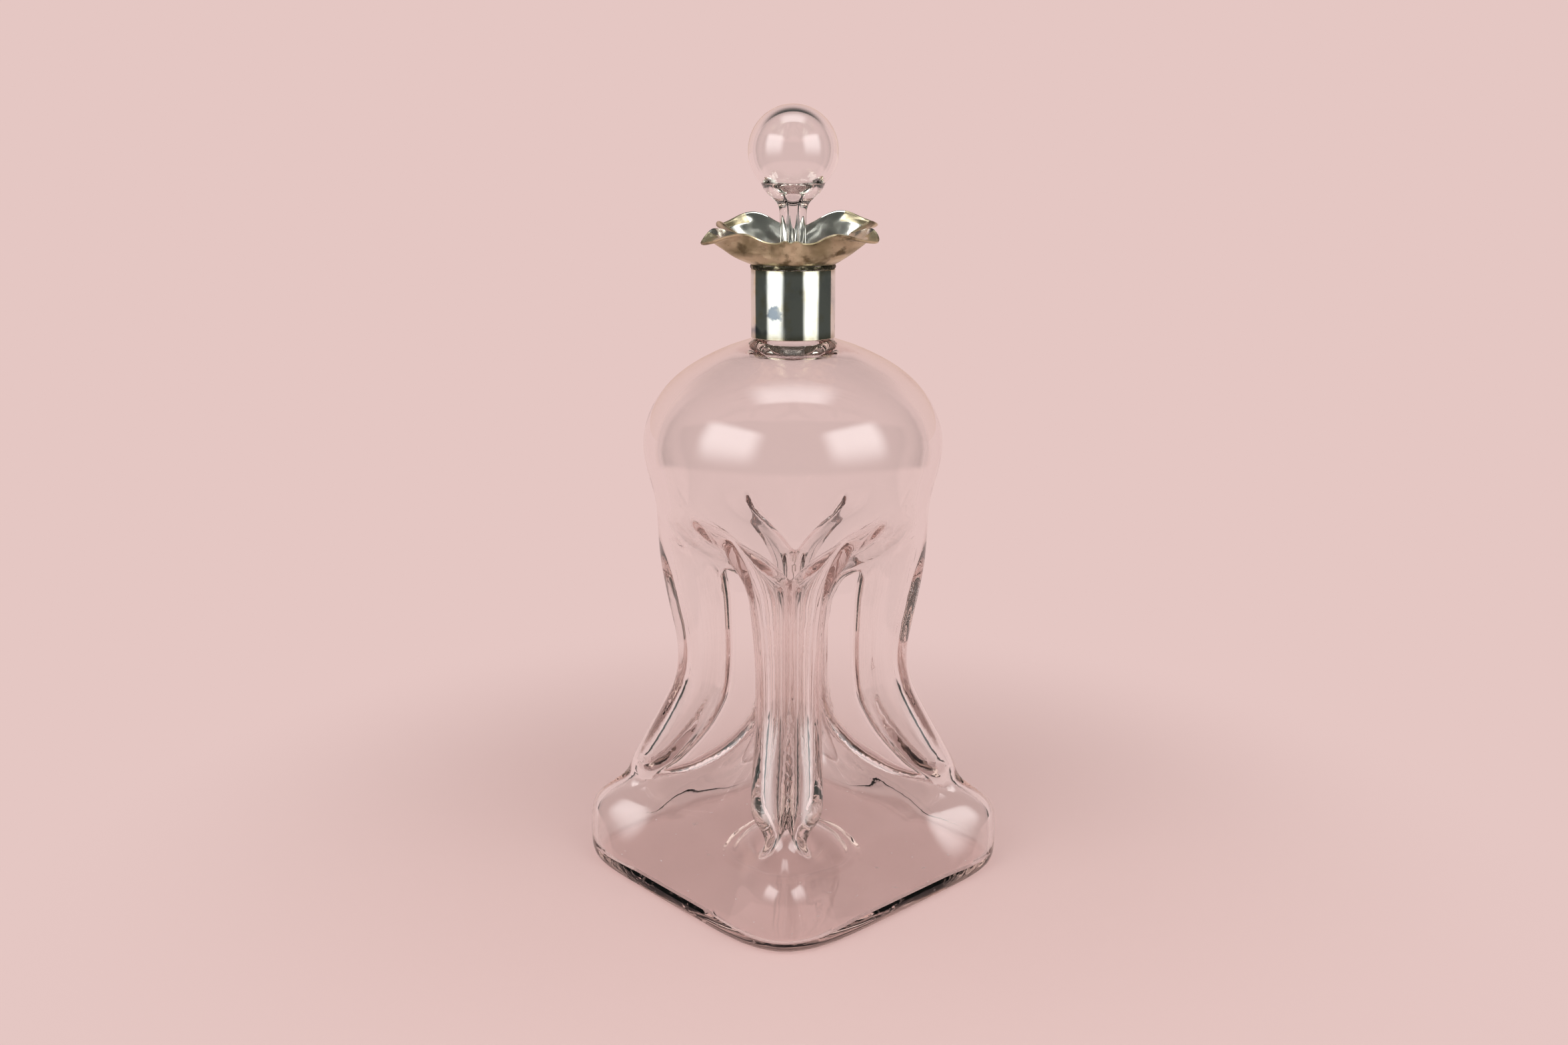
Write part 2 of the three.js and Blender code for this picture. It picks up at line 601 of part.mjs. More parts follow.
function petalLip() {
  const positions = [];
  const index = [];
  const sides = LIP_SIDES;
  const loop = 2 * (LIP_STEPS + 1);
  for (let i = 0; i < sides; i += 1) {
    const turn = (i / sides) * 2 * Math.PI;
    const outer = [];
    const inner = [];
    for (let k = 0; k <= LIP_STEPS; k += 1) {
      const along = k / LIP_STEPS;
      const [radius, height] = petalPoint(turn, along);
      const [r1, h1] = petalPoint(turn, Math.max(along - NEAR_STEP, 0));
      const [r2, h2] = petalPoint(turn, Math.min(along + NEAR_STEP, 1));
      const slope = Math.hypot(r2 - r1, h2 - h1);
      const dr = ((h2 - h1) / slope) * (LIP_SHEET / 2);
      const dh = ((r2 - r1) / slope) * (LIP_SHEET / 2);
      outer.push([radius + dr, height - dh]);
      inner.push([radius - dr, height + dh]);
    }
    outer[0] = [SLEEVE_RADIUS, LIP_START];
    inner[0] = [SLEEVE_RADIUS - LIP_SHEET, LIP_START];
    for (const [radius, height] of [...outer, ...inner.reverse()]) {
      positions.push(radius * Math.cos(turn), radius * Math.sin(turn), height);
    }
  }
  for (let i = 0; i < sides; i += 1) {
    for (let k = 0; k < loop; k += 1) {
      const a = i * loop + k;
      const b = i * loop + ((k + 1) % loop);
      const c = ((i + 1) % sides) * loop + k;
      const d = ((i + 1) % sides) * loop + ((k + 1) % loop);
      index.push(a, c, d, a, d, b);
    }
  }
  const geometry = new THREE.BufferGeometry();
  geometry.setAttribute("position", new THREE.Float32BufferAttribute(positions, 3));
  geometry.setIndex(index);
  return geometry;
}

const glass = { color: 0xdfe6e2, roughness: 0.03, metalness: 0 };
const silver = { color: 0xb9b6a8, roughness: 0.18, metalness: 1 };
const solder = { color: 0x4a463a, roughness: 0.55, metalness: 0.8 };
const plaster = { color: 0xd8d2c4, roughness: 0.9, metalness: 0 };

const group = new THREE.Group();
function addPiece(name, geometry, finish) {
  const mesh = new THREE.Mesh(geometry, new THREE.MeshStandardMaterial(finish));
  mesh.name = name;
  group.add(mesh);
}

addPiece("glass_body", glassBody(), glass);
addPiece("stopper", stopper(), glass);
addPiece("neck_sleeve", neckSleeve(), silver);
addPiece("mount_bedding", mountBedding(), plaster);
addPiece("solder_seam", solderSeam(), solder);
addPiece("petal_lip", petalLip(), silver);

export default group;
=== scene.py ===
# A blown glass decanter with a pinched body, a silver neck mount and a hollow ball stopper.
# Shapes and the camera's place are in millimetres; materials, lights, floor and meshes are in metres.
import itertools
import math

import bmesh
import bpy
import numpy as np
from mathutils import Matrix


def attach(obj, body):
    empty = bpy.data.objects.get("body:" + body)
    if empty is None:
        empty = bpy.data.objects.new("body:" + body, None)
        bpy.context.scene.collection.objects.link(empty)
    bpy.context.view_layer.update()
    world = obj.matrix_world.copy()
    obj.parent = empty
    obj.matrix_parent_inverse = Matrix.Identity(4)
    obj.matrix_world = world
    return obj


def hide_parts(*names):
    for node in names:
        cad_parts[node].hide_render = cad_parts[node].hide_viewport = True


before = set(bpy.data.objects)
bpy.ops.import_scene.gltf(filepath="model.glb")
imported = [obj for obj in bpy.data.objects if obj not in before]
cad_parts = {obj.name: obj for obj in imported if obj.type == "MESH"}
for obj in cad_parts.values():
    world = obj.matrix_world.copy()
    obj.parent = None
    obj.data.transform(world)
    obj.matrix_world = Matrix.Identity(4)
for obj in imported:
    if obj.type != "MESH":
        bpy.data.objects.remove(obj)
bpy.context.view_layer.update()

import openvdb as vdb
from mathutils import Vector

MM = 0.001
TINY = 1e-6
FAR = 1e3
DIAGONAL = math.sqrt(0.5)
# The front tube stands on a diagonal of the foot
FRONT = -math.pi / 4

# The bottle's outline on the diagonal before it is pinched: reach and height
OUTLINE = [
    (0, 0), (60, 0), (71.6, 0), (75, 0.4), (76.9, 1.8), (77.6, 4.4), (77.8, 9), (77.8, 15.2), (77.4, 19.2),
    (76.2, 22.4), (74.0, 25.2), (70.4, 28.7), (65.2, 34), (60.8, 40.4), (57.2, 46.8), (53.8, 53),
    (50.2, 59.5), (47.2, 65.5), (44.8, 71), (43.4, 77), (43.0, 83), (43.4, 89), (44.4, 95), (45.8, 102),
    (47.2, 109.5), (48.3, 116), (49.0, 122), (49.4, 129), (49.6, 136), (50.2, 142), (51.5, 148),
    (53.0, 154), (54.0, 160), (53.9, 165), (52.8, 170), (50.8, 175), (47.4, 180.5), (43.0, 185.3),
    (37.4, 189.6), (31.0, 193.2), (24.4, 196.2), (17.6, 198.2), (10, 199.1), (0, 199.3),
]
OUTLINE_CHORDS = 6
# Each list below gives a height and the size there
SQUARENESS = [(0, 5.1), (24, 5.1), (40, 3.8), (60, 2.5), (90, 2.05), (110, 2), (200, 2)]
TUBE_MIDDLE = [
    (0, 62), (24, 62), (29, 60.2), (36, 54.2), (42, 48.4), (48, 43.7), (57, 38), (68, 32.8), (83, 31),
    (100, 32.2), (115, 34.8), (122, 38.5), (130, 43.5), (140, 50), (150, 58), (160, 66),
]
TUBE_HALF_WIDTH = [
    (0, 17), (24, 16), (29, 14.6), (34, 13.4), (42, 12.8), (48, 12.6), (57, 12.1), (68, 11.6), (83, 11.6),
    (100, 12.3), (110, 13.2), (120, 15), (130, 18.4), (140, 23.5), (150, 31), (160, 41),
]
WEB_OUTER = [
    (0, 56), (24, 56), (29, 54.6), (36, 46.4), (42, 39.8), (48, 33.9), (57, 27.2), (68, 22.9), (83, 22.1),
    (100, 22.3), (115, 24.2), (122, 31.5), (130, 39), (140, 47), (150, 56), (160, 64),
]
WEB_INNER = [
    (0, 54), (24, 54), (29, 52.6), (32, 48.6), (36, 42.5), (42, 31.2), (48, 23.6), (57, 15.6), (68, 11.8),
    (83, 11.1), (100, 12.2), (108, 16), (115, 22.4), (122, 29), (130, 36), (140, 45), (150, 54), (160, 62),
]
WEB_HALF = [
    (0, 12), (27, 12), (28.5, 9.6), (30, 7.6), (31.5, 6), (33, 5), (36, 4.1), (83, 3.9), (104, 3.9),
    (111, 4.3), (115, 5.4), (122, 8.6), (130, 13.2), (140, 20), (150, 28), (160, 38),
]
GROOVE_FLOOR = [
    (0, 63.4), (3, 62.4), (8, 59.5), (14, 55.6), (20, 51.5), (24, 48.7), (26.5, 46.7), (27.6, 45.1),
    (28.6, 43), (30, 39.9), (31.5, 36.9), (33.5, 33.6), (36, 30.2), (39, 27), (42, 24.2), (45, 21.7),
    (48, 19.6), (52, 17), (57, 15), (62, 13.8), (68, 13.1), (83, 12.6), (96, 13.1), (104, 14.2),
    (111, 16), (118, 19), (126, 24), (134, 30), (142, 37), (150, 46), (165, 64),
]
EDGE_ROUND = [(0, 4), (30, 6), (40, 8), (100, 8), (115, 10), (130, 14), (200, 14)]
WALL = [(0, 2.1), (8, 2.2), (22, 2.8), (34, 3.6), (50, 4.5), (100, 4.8), (140, 5.4), (200, 5.4)]
FLOOR = 2.9
FLOOR_ROUND = 2.5
# The foot's sides lean in between these heights, fully in their flat middle and not at all at the corners
PANEL_HEIGHTS = (9, 60)
PANEL_FLAT = 18
PANEL_HALF_WIDTH = 54
# The foot turns into the pinched waist, and the waist into the dome, between these heights
SHELF = (25, 41)
DOME = (113, 144)
# How the groove's floor bends into the webs, and how far a dent's outline is drawn past its ends
BEND_PULL = 0.45
BEND_STEPS = 24
FLANK_STEPS = 16
TUBE_BEYOND = (60, 4)
GROOVE_BEYOND = 80
# The push-up in the floor and the polished recess round it
KICK_RADIUS = 19.5
KICK_HEIGHT = 5.5
PONTIL_EDGE = [(0, -2), (25.6, -2), (25.3, 0), (24.2, 0.4)]
PONTIL_DEPTH = 0.5
PONTIL_RADII = (22, 20.5, 19.5, 18, 16, 14, 12, 10, 8, 6, 4, 2, 0)

# The distance field's cells: their size, half their count across, and the lowest and highest
GRID = 1.0
GRID_HALF = 84
GRID_HEIGHTS = (-6, 206)
# How far and how finely the outline's distances and the dents' widths are worked out beforehand
OUTLINE_TABLE = (0, 160, 0.5)
DENT_TABLE = (0, 125, 0.25)
# Smoothing of the field, and the depths in cells to which it is measured outside and inside the glass
BLUR = 0.9
BLUR_REACH = 3
BAND_OUTSIDE = 3.0
BAND_INSIDE = 9.0
MESH_STEP = 1.7
EVEN_ROUNDS = 4
EVEN_SHARE = 0.6
LEAST_SLOPE = 0.2

# Turned profiles: radius and height
NECK_TOP = 223
NECK_PROFILE = [
    (0, 192), (24.6, 192), (24.6, 196.1), (22.6, 196.95), (20.4, 197.7), (18.2, 198.4), (16.4, 199.0),
    (15.1, 199.5), (14.3, 199.95), (13.7, 200.4), (13.2, 200.9), (12.95, 201.5), (12.9, 202.2),
    (12.9, NECK_TOP - 1.2), (12.55, NECK_TOP - 0.4), (11.7, NECK_TOP), (0, NECK_TOP),
]
BORE_PROFILE = [
    (0, 190), (11.5, 190), (10.4, 194), (9.2, 196), (8.2, 197.2), (7.8, 197.7), (8.9, NECK_TOP),
    (8.95, NECK_TOP + 2), (0, NECK_TOP + 2),
]
NECK_SIDES = 160

PLUG_END = NECK_TOP - 25
STEM_TOP = 245.5
STOPPER_OUTSIDE = [
    (0, PLUG_END), (6.6, PLUG_END), (7.2, PLUG_END + 0.2), (7.5, PLUG_END + 0.8), (8.6, NECK_TOP),
    (8.55, NECK_TOP + 0.6), (8.0, NECK_TOP + 1.5), (6.9, NECK_TOP + 2.6), (5.8, NECK_TOP + 3.9),
    (5.0, NECK_TOP + 5.6), (4.65, NECK_TOP + 8), (4.6, NECK_TOP + 12), (4.65, STEM_TOP - 4),
    (4.8, STEM_TOP - 1.6), (5.1, STEM_TOP - 0.2), (5.8, STEM_TOP + 1.2), (7.1, STEM_TOP + 2.5),
    (8.8, STEM_TOP + 3.9), (10.2, STEM_TOP + 5.6),
]
STOPPER_HOLLOW = [
    (0, PLUG_END + 6), (1.2, PLUG_END + 6.4), (1.6, PLUG_END + 8), (1.6, STEM_TOP - 3),
    (1.65, STEM_TOP - 0.6), (1.8, STEM_TOP + 1.2), (2.1, STEM_TOP + 2.8), (2.5, STEM_TOP + 4.6),
]
# The ball and its hollow: radius, and the angle at which each leaves the stem
BALL_MIDDLE = 264.3
BALL = (15.7, -0.78)
BALL_HOLLOW = (13.2, -1.33)
ARC_STEPS = 44
PROFILE_CHORDS = 3
AXIS_GAP = 0.02
STOPPER_SIDES = 128
HOLLOW_SIDES = 96

SHEET = 0.6
SLEEVE_RADIUS = 15
SLEEVE_INSIDE = SLEEVE_RADIUS - SHEET
SLEEVE_BOTTOM = 200
SLEEVE_TOP = 224
SLEEVE_PROFILE = [
    (SLEEVE_INSIDE, SLEEVE_BOTTOM), (SLEEVE_RADIUS - 0.15, SLEEVE_BOTTOM),
    (SLEEVE_RADIUS + 0.02, SLEEVE_BOTTOM + 0.2), (SLEEVE_RADIUS, SLEEVE_BOTTOM + 0.7), (SLEEVE_RADIUS, 212),
    (SLEEVE_RADIUS, SLEEVE_TOP - 0.6), (SLEEVE_RADIUS - 0.02, SLEEVE_TOP - 0.15),
    (SLEEVE_RADIUS - 0.15, SLEEVE_TOP), (SLEEVE_INSIDE, SLEEVE_TOP),
]
SLEEVE_SIDES = 256
BEDDING_RADII = (13.2, SLEEVE_INSIDE - 0.3)
BEDDING_HEIGHTS = (201.2, 221.8)
BEDDING_SIDES = 96

SEAM_BOTTOM = 224.3
SEAM_TOP = SEAM_BOTTOM + 1.2
SEAM_SINK = 0.05
SEAM_BULGE = 0.16
# Waves round the seam: count, size and phase, of its bulge and of its lower edge
SEAM_WAVES = [
    (3, 0.05, 0.4), (7, 0.06, 1.3), (11, 0.05, 2.9), (19, 0.05, 0.8), (31, 0.04, 4.0), (47, 0.03, 2.2),
]
SEAM_LOW_WAVES = [(5, 0.05, 1.9), (9, 0.05, 0.2), (14, 0.05, 3.3), (23, 0.05, 5.1), (37, 0.04, 1.2)]
SEAM_SIDES = 360
SEAM_STEPS = 10
SEAM_LOOP = SEAM_STEPS + 3

# The lip's edge by angle from the front, in degrees to the right: reach, and height before the tilt
LIP_EDGE = [
    (0, 19.6, 235.6), (5, 20.2, 236.2), (12, 21.2, 235.6), (20, 23.2, 235.9), (30, 27.2, 238.6),
    (40, 32.2, 239.6), (48, 35.2, 239.3), (55, 35.6, 238.8), (62, 33.2, 239.2), (70, 28.6, 239.2),
    (80, 22.6, 237.2), (90, 20.0, 236.0), (100, 22.4, 236.9), (111, 28.6, 238.9), (119, 33.6, 239.2),
    (126, 36.2, 239.3), (133, 35.6, 240.3), (142, 31.6, 241.3), (152, 27.0, 240.2), (163, 22.6, 237.3),
    (172, 20.4, 235.7), (180, 19.7, 235.2), (188, 20.5, 235.8), (197, 22.6, 237.2), (208, 27.0, 239.9),
    (218, 31.6, 240.6), (227, 34.6, 239.3), (234, 34.8, 238.6), (241, 32.2, 238.8), (250, 27.6, 238.6),
    (260, 22.6, 237.0), (270, 20.0, 236.2), (280, 22.6, 237.3), (290, 28.4, 239.0), (298, 33.6, 238.7),
    (304, 36.4, 238.2), (310, 36.0, 238.9), (318, 32.6, 239.8), (328, 28.0, 239.0), (339, 23.4, 236.2),
    (348, 21.2, 235.6), (355, 20.2, 236.3),
]
LIP_ROOT = 225.8
LIP_TILT = 0.1
LIP_THICKNESS = 0.7
# The lip's shape from the seam to the edge: share of the reach and share of the rise
LIP_RISE = [
    (0, 0), (0.1, 0.05), (0.28, 0.18), (0.45, 0.34), (0.59, 0.51), (0.69, 0.635), (0.78, 0.75), (0.89, 0.88),
    (1, 1),
]
# How far the petals' tips droop, from what share of the reach, and between which reaches it sets in
LIP_DROOP = 2.7
LIP_DROOP_START = 0.78
LIP_DROOP_REACH = (28, 36.5)
# Dents in the lip: waves round it, half waves along it, size and phase
LIP_BUMPS = [(3, 2, 0.10, 0.3), (5, 3, 0.10, 1.9), (8, 2, 0.08, 4.0), (11, 4, 0.06, 2.6), (17, 5, 0.03, 0.9)]
LIP_SIDES = 480
LIP_STEPS = 40
LIP_LOOP = 2 * LIP_STEPS + 3
# How far the ridge along the edge stands out, as a share of the last step
LIP_CREST = 0.8
# Where the inside of the tips is as tarnished as the outside: share of the reach, and reach
LIP_TIP_SHARE = 0.8
LIP_TIP_REACH = 31

# Angles in degrees above which an edge stays sharp
GLASS_SHARP = 40
SHEET_SHARP = 30
LUMPY_SHARP = 50

AZIMUTH = math.radians(47.6)
PITCH = math.radians(13.4)
CAMERA_DISTANCE = 517.1
CAMERA_HEIGHT = 255.1
CAMERA_LEFT = 3.2
LENS = 33.2
SENSOR = 36
CLIP = (0.01, 50)
BOUNCES = 32
GLOSSY_BOUNCES = 16

# Soft boxes: name, angle to the right of the camera, elevation, width, height, strength, seen in reflections
LIGHTS = [
    ("box_left", -51, 12, 1.1, 1.2, 6.8, True),
    ("box_right", 50, 12, 1.06, 1.2, 6.8, True),
    ("box_top", 180, 88, 0.95, 0.7, 5, True),
    ("fill_left", -46, 30, 0.75, 0.9, 2.3, False),
    ("fill_right", 47, 30, 0.8, 0.9, 2.3, False),
    ("fill_top", 180, 88, 0.9, 0.7, 2.3, False),
]
LIGHT_DISTANCE = 1.0
LIGHT_TARGET = (0, 0, 0.15)
# Where a soft box fades: axis, and the shares across it where it is dark and where it is full
BOX_FADES = [("X", 0, 0.28), ("X", 1, 0.72), ("Y", 1, 0.85), ("Y", 0.13, 0.68)]

PAPER = (0.783, 0.571, 0.546, 1)
PAPER_ASIDE = (0.66, 0.45, 0.36, 1)
FLOOR_COLOUR = (0.76, 0.555, 0.53, 1)
SKY = (0.9, 0.86, 0.85, 1)
SKY_STRENGTH = 0.5
# The dark room as it mirrors in polished surfaces and as it shows through glass
DARK = (0.08, 0.085, 0.08, 1)
DARK_THROUGH = (0.05, 0.053, 0.048, 1)
# What light that mirrored many times inside the glass brings from the bright room
TRAPPED = (1.3, 1.1, 1.0, 1)
TRAPPED_DEPTH = (5, 9)
# Polished surfaces see the paper within these directions behind the bottle and below these heights
STAGE_BEHIND = (0.52, 0.62)
STAGE_LOW = (0.75, 0.35)
FLOOR_RADIUS = 12
FLOOR_SIDES = 96
FLOOR_SINK = 0.0002
# The floor's shaded middle turns into even paper, and its mirror image ends, between these distances
FLOOR_FADE = (0.1, 0.3)
FLOOR_MIRRORED = (0.45, 0.6)
# A path's count of mirrorings or passages through glass is above this from the first one on
ANY_BOUNCE = 0.5

GLASS_TINT = (0.995, 0.993, 0.99, 1)
GLASS_IOR = 1.5
ABSORPTION_COLOUR = (0.62, 0.40, 0.34, 1)
ABSORPTION_DENSITY = 8
SHADOW_TINT = (0.93, 0.91, 0.91, 1)
GROUND_HEIGHTS = (0.2235, 0.2215)
GROUND_ROUGHNESS = (0.25, 0.5)
SCUFF_HEIGHTS = (0.0012, 0.0002)
SCUFF_ROUGHNESS = (0.0, 0.3)

SILVER = (0.78, 0.78, 0.71, 1)
SILVER_DULL = (0.5, 0.53, 0.52, 1)
SILVER_STAIN = (0.13, 0.16, 0.2, 1)
SILVER_STRAW = (0.72, 0.66, 0.47, 1)
SILVER_ROUGHNESS = (0.06, 0.2)
# One blue stain on the sleeve: its middle, the waviness of its edge, where it fades, and its strength
SPOT = (0.1, 0.14, 0.19, 1)
SPOT_PLACE = (0.0056, -0.0139, 0.2092)
SPOT_WAVES = (-0.003, 0.003)
SPOT_FADE = (0.0034, 0.0016)
SPOT_STRENGTH = 0.85
# Darker brown along both rims of the sleeve: the heights between which it sets in, and its strength
RIM = (0.42, 0.38, 0.26, 1)
RIM_LOW = (0.2032, 0.2)
RIM_HIGH = (0.2215, 0.224)
RIM_STRENGTH = (0.3, 1.3)

LIP_BRIGHT = (0.7, 0.7, 0.63, 1)
LIP_DULL = (0.42, 0.42, 0.34, 1)
LIP_INSIDE_ROUGHNESS = (0.16, 0.3)
LIP_BROWN = (0.31, 0.265, 0.155, 1)
LIP_GOLD = (0.66, 0.58, 0.39, 1)
LIP_STAIN = (0.18, 0.15, 0.085, 1)
LIP_SPECK = (0.24, 0.19, 0.11, 1)
LIP_SPECK_STRENGTH = (0.0, 0.5)
LIP_OUTSIDE_ROUGHNESS = (0.46, 0.32)

SOLDER_DARK = (0.03, 0.028, 0.018, 1)
SOLDER_PALE = (0.16, 0.14, 0.09, 1)
SOLDER_PATCHES = (0.45, 0.7)
SOLDER_ROUGHNESS = (0.6, 0.35)
SOLDER_DEPTH = 0.0008
PLASTER = (0.66, 0.6, 0.5, 1)
PLASTER_STAINED = (0.4, 0.33, 0.25, 1)
PLASTER_ROUGHNESS = 0.9

# Noise: scale, so many features to the metre, and detail
GROUND_NOISE = (900, 2.0)
SPOT_NOISE = (420, 4.0)
RIM_NOISE = (500, 3.0)
SOLDER_NOISE = (420, 3.0)
# Patches: scale and detail of their noise, and the values at which they set in and are full
SCUFF_PATCHES = (260, 4.0, 0.62, 0.72)
SILVER_CLOUDS = (70, 4.0, 0.5, 0.75)
SILVER_STAINS = (95, 2.0, 0.6, 0.72)
SILVER_STRAWS = (160, 3.0, 0.52, 0.8)
LIP_CLOUDS = (110, 4.0, 0.5, 0.78)
LIP_PATCHES = (95, 3.0, 0.36, 0.64)
LIP_STAINS = (150, 5.0, 0.52, 0.66)
LIP_SPECKS = (1500, 3.0, 0.6, 0.75)
PLASTER_STAINS = (200, 4.0, 0.42, 0.66)
# Relief: scale and detail of its noise, and its depth
GLASS_RIPPLES = (55, 1.0, 0.00012)
SILVER_DENTS = (45, 1.0, 0.0004)
SILVER_SCRATCHES = (500, 2.0, 0.000006)
SILVER_STRETCH = (1, 1, 0.06)
LIP_INSIDE_DENTS = (85, 2.0, 0.0006)
LIP_INSIDE_SCRATCHES = (700, 2.0, 0.000006)
LIP_STRETCH = (1, 1, 0.3)
LIP_OUTSIDE_DENTS = (120, 2.0, 0.0012)
LIP_OUTSIDE_GRAIN = (1100, 3.0, 0.00002)
PLASTER_PITS = (900, 4.0, 0.0002)


def hermite(xs, ys, slopes, x):
    """A smooth curve through points with a given slope at each."""
    i = np.clip(np.searchsorted(xs, x, side="right") - 1, 0, len(xs) - 2)
    span = xs[i + 1] - xs[i]
    t = (x - xs[i]) / span
    rise = (2 * t**3 - 3 * t**2 + 1) * ys[i] + (3 * t**2 - 2 * t**3) * ys[i + 1]
    return rise + span * ((t**3 - 2 * t**2 + t) * slopes[i] + (t**3 - t**2) * slopes[i + 1])


def monotone(points):
    """A smooth curve through points of a rising argument, without overshoot."""
    xs, ys = np.array(points, float).T
    chord = np.diff(ys) / np.diff(xs)
    slopes = np.zeros(len(xs))
    slopes[0] = chord[0]
    slopes[-1] = chord[-1]
    for i in range(1, len(xs) - 1):
        if chord[i - 1] * chord[i] > 0:
            slopes[i] = 2 * chord[i - 1] * chord[i] / (chord[i - 1] + chord[i])
    return lambda x: hermite(xs, ys, slopes, np.clip(x, xs[0], xs[-1]))


def periodic(table, column):
    """A smooth closed curve through a table of angles in degrees."""
    angles = np.array([row[0] for row in table], float)
    values = np.array([row[column] for row in table], float)
    xs = np.concatenate([angles[-3:] - 360, angles, angles[:3] + 360])
    ys = np.concatenate([values[-3:], values, values[:3]])
    slopes = np.gradient(ys, xs)
    return lambda x: hermite(xs, ys, slopes, np.mod(x, 360))


def between_knots(a, b, start, end, t):
    return (end - t) / (end - start) * a + (t - start) / (end - start) * b


def spline(points, steps):
    """A centripetal curve through points, as many short chords."""
    p = np.array(points, float)
    p = np.vstack([2 * p[0] - p[1], p, 2 * p[-1] - p[-2]])
    out = []
    for i in range(1, len(p) - 2):
        knots = [0.0]
        for a, b in ((i - 1, i), (i, i + 1), (i + 1, i + 2)):
            knots.append(knots[-1] + math.sqrt(np.linalg.norm(p[b] - p[a])))
        k0, k1, k2, k3 = knots
        for t in np.linspace(k1, k2, steps, endpoint=False):
            a1 = between_knots(p[i - 1], p[i], k0, k1, t)
            a2 = between_knots(p[i], p[i + 1], k1, k2, t)
            a3 = between_knots(p[i + 1], p[i + 2], k2, k3, t)
            b1 = between_knots(a1, a2, k0, k2, t)
            b2 = between_knots(a2, a3, k1, k3, t)
            out.append(between_knots(b1, b2, k1, k2, t))
    out.append(p[-2])
    return np.array(out)


def smooth_step(value, start, end):
    t = np.clip((value - start) / (end - start), 0, 1)
    return t * t * (3 - 2 * t)


def smooth_max(a, b, k):
    h = np.clip(0.5 - 0.5 * (b - a) / k, 0, 1)
    return b + (a - b) * h + k * h * (1 - h)


def mixed(a, b, share):
    return a * (1 - share) + b * share


def outline_distance(radii, heights):
    """Signed distance to the outline in its own plane, below zero inside."""
    line = spline(OUTLINE, OUTLINE_CHORDS)
    r, z = np.meshgrid(radii, heights, indexing="ij")
    best = np.full(r.shape, FAR)
    inside = np.zeros(r.shape, bool)
    for (r0, z0), (r1, z1) in zip(line[:-1], line[1:]):
        dr = r1 - r0
        dz = z1 - z0
        length2 = dr**2 + dz**2
        if length2 < TINY**2:
            continue
        t = np.clip(((r - r0) * dr + (z - z0) * dz) / length2, 0, 1)
        best = np.minimum(best, np.hypot(r - r0 - t * dr, z - z0 - t * dz))
        if z1 != z0:
            crosses = (z0 > z) != (z1 > z)
            inside ^= crosses & (r0 + (z - z0) * dr / dz > r)
    return np.where(inside, -best, best)


def blur(field, sigma):
    """Separable Gaussian blur, with the edge values kept going."""
    reach = int(math.ceil(BLUR_REACH * sigma))
    weights = np.exp(-0.5 * (np.arange(-reach, reach + 1) / sigma) ** 2)
    weights /= weights.sum()
    for axis in range(3):
        margins = [(reach, reach) if n == axis else (0, 0) for n in range(3)]
        padded = np.pad(field, margins, mode="edge")
        total = np.zeros_like(field)
        for n, weight in enumerate(weights):
            cut_out = [slice(None)] * 3
            cut_out[axis] = slice(n, n + field.shape[axis])
            total += weight * padded[tuple(cut_out)]
        field = total
    return field


def sample(field, origin, points):
    """Values of a field between its grid points."""
    at = (points - origin) / GRID
    low = np.clip(np.floor(at).astype(int), 0, np.array(field.shape) - 2)
    part = np.clip(at - low, 0, 1)
    total = np.zeros(len(points))
    for corner in itertools.product((0, 1), repeat=3):
        near = [part[:, n] if corner[n] else 1 - part[:, n] for n in range(3)]
        cell = tuple(low[:, n] + corner[n] for n in range(3))
        total += near[0] * near[1] * near[2] * field[cell]
    return total


def gradient(field, origin, points):
    out = np.zeros_like(points)
    for axis in range(3):
        shift = np.zeros(3)
        shift[axis] = GRID
        up = sample(field, origin, points + shift)
        down = sample(field, origin, points - shift)
        out[:, axis] = (up - down) / (2 * GRID)
    return out


def quads_at_zero(field, origin, mesh_step):
    """Quads of about one size on the zero of a field."""
    counts = [int((s - 1) * GRID / mesh_step) + 1 for s in field.shape]
    axes = [origin[k] + np.arange(counts[k]) * mesh_step for k in range(3)]
    at = np.stack(np.meshgrid(*axes, indexing="ij"), -1).reshape(-1, 3)
    grid = vdb.FloatGrid(FAR)
    grid.copyFromArray(sample(field, origin, at).reshape(counts).astype(np.float32))
    points, quads = grid.convertToQuads(0.0)
    return points.astype(float) * mesh_step + origin, quads.astype(int)


def surface(field, origin):
    """Quads on the zero of a field, evened out along it and set back on it."""
    points, quads = quads_at_zero(field, origin, MESH_STEP)
    edges = np.concatenate([quads[:, [k, (k + 1) % 4]] for k in range(4)])
    ends = np.concatenate([edges[:, 0], edges[:, 1]])
    others = np.concatenate([edges[:, 1], edges[:, 0]])
    count = np.bincount(ends, minlength=len(points))
    for _ in range(EVEN_ROUNDS):
        total = np.stack([np.bincount(ends, points[others, k], len(points)) for k in range(3)], 1)
        slope = gradient(field, origin, points)
        steepness = np.maximum(np.linalg.norm(slope, axis=1), LEAST_SLOPE)
        normal = slope / steepness[:, None]
        move = total / count[:, None] - points
        points = points + EVEN_SHARE * (move - (move * normal).sum(1)[:, None] * normal)
        value = sample(field, origin, points)
        slope = gradient(field, origin, points)
        steepness2 = np.maximum((slope**2).sum(1), LEAST_SLOPE**2)
        points = points - (value / steepness2)[:, None] * slope
    return points, quads


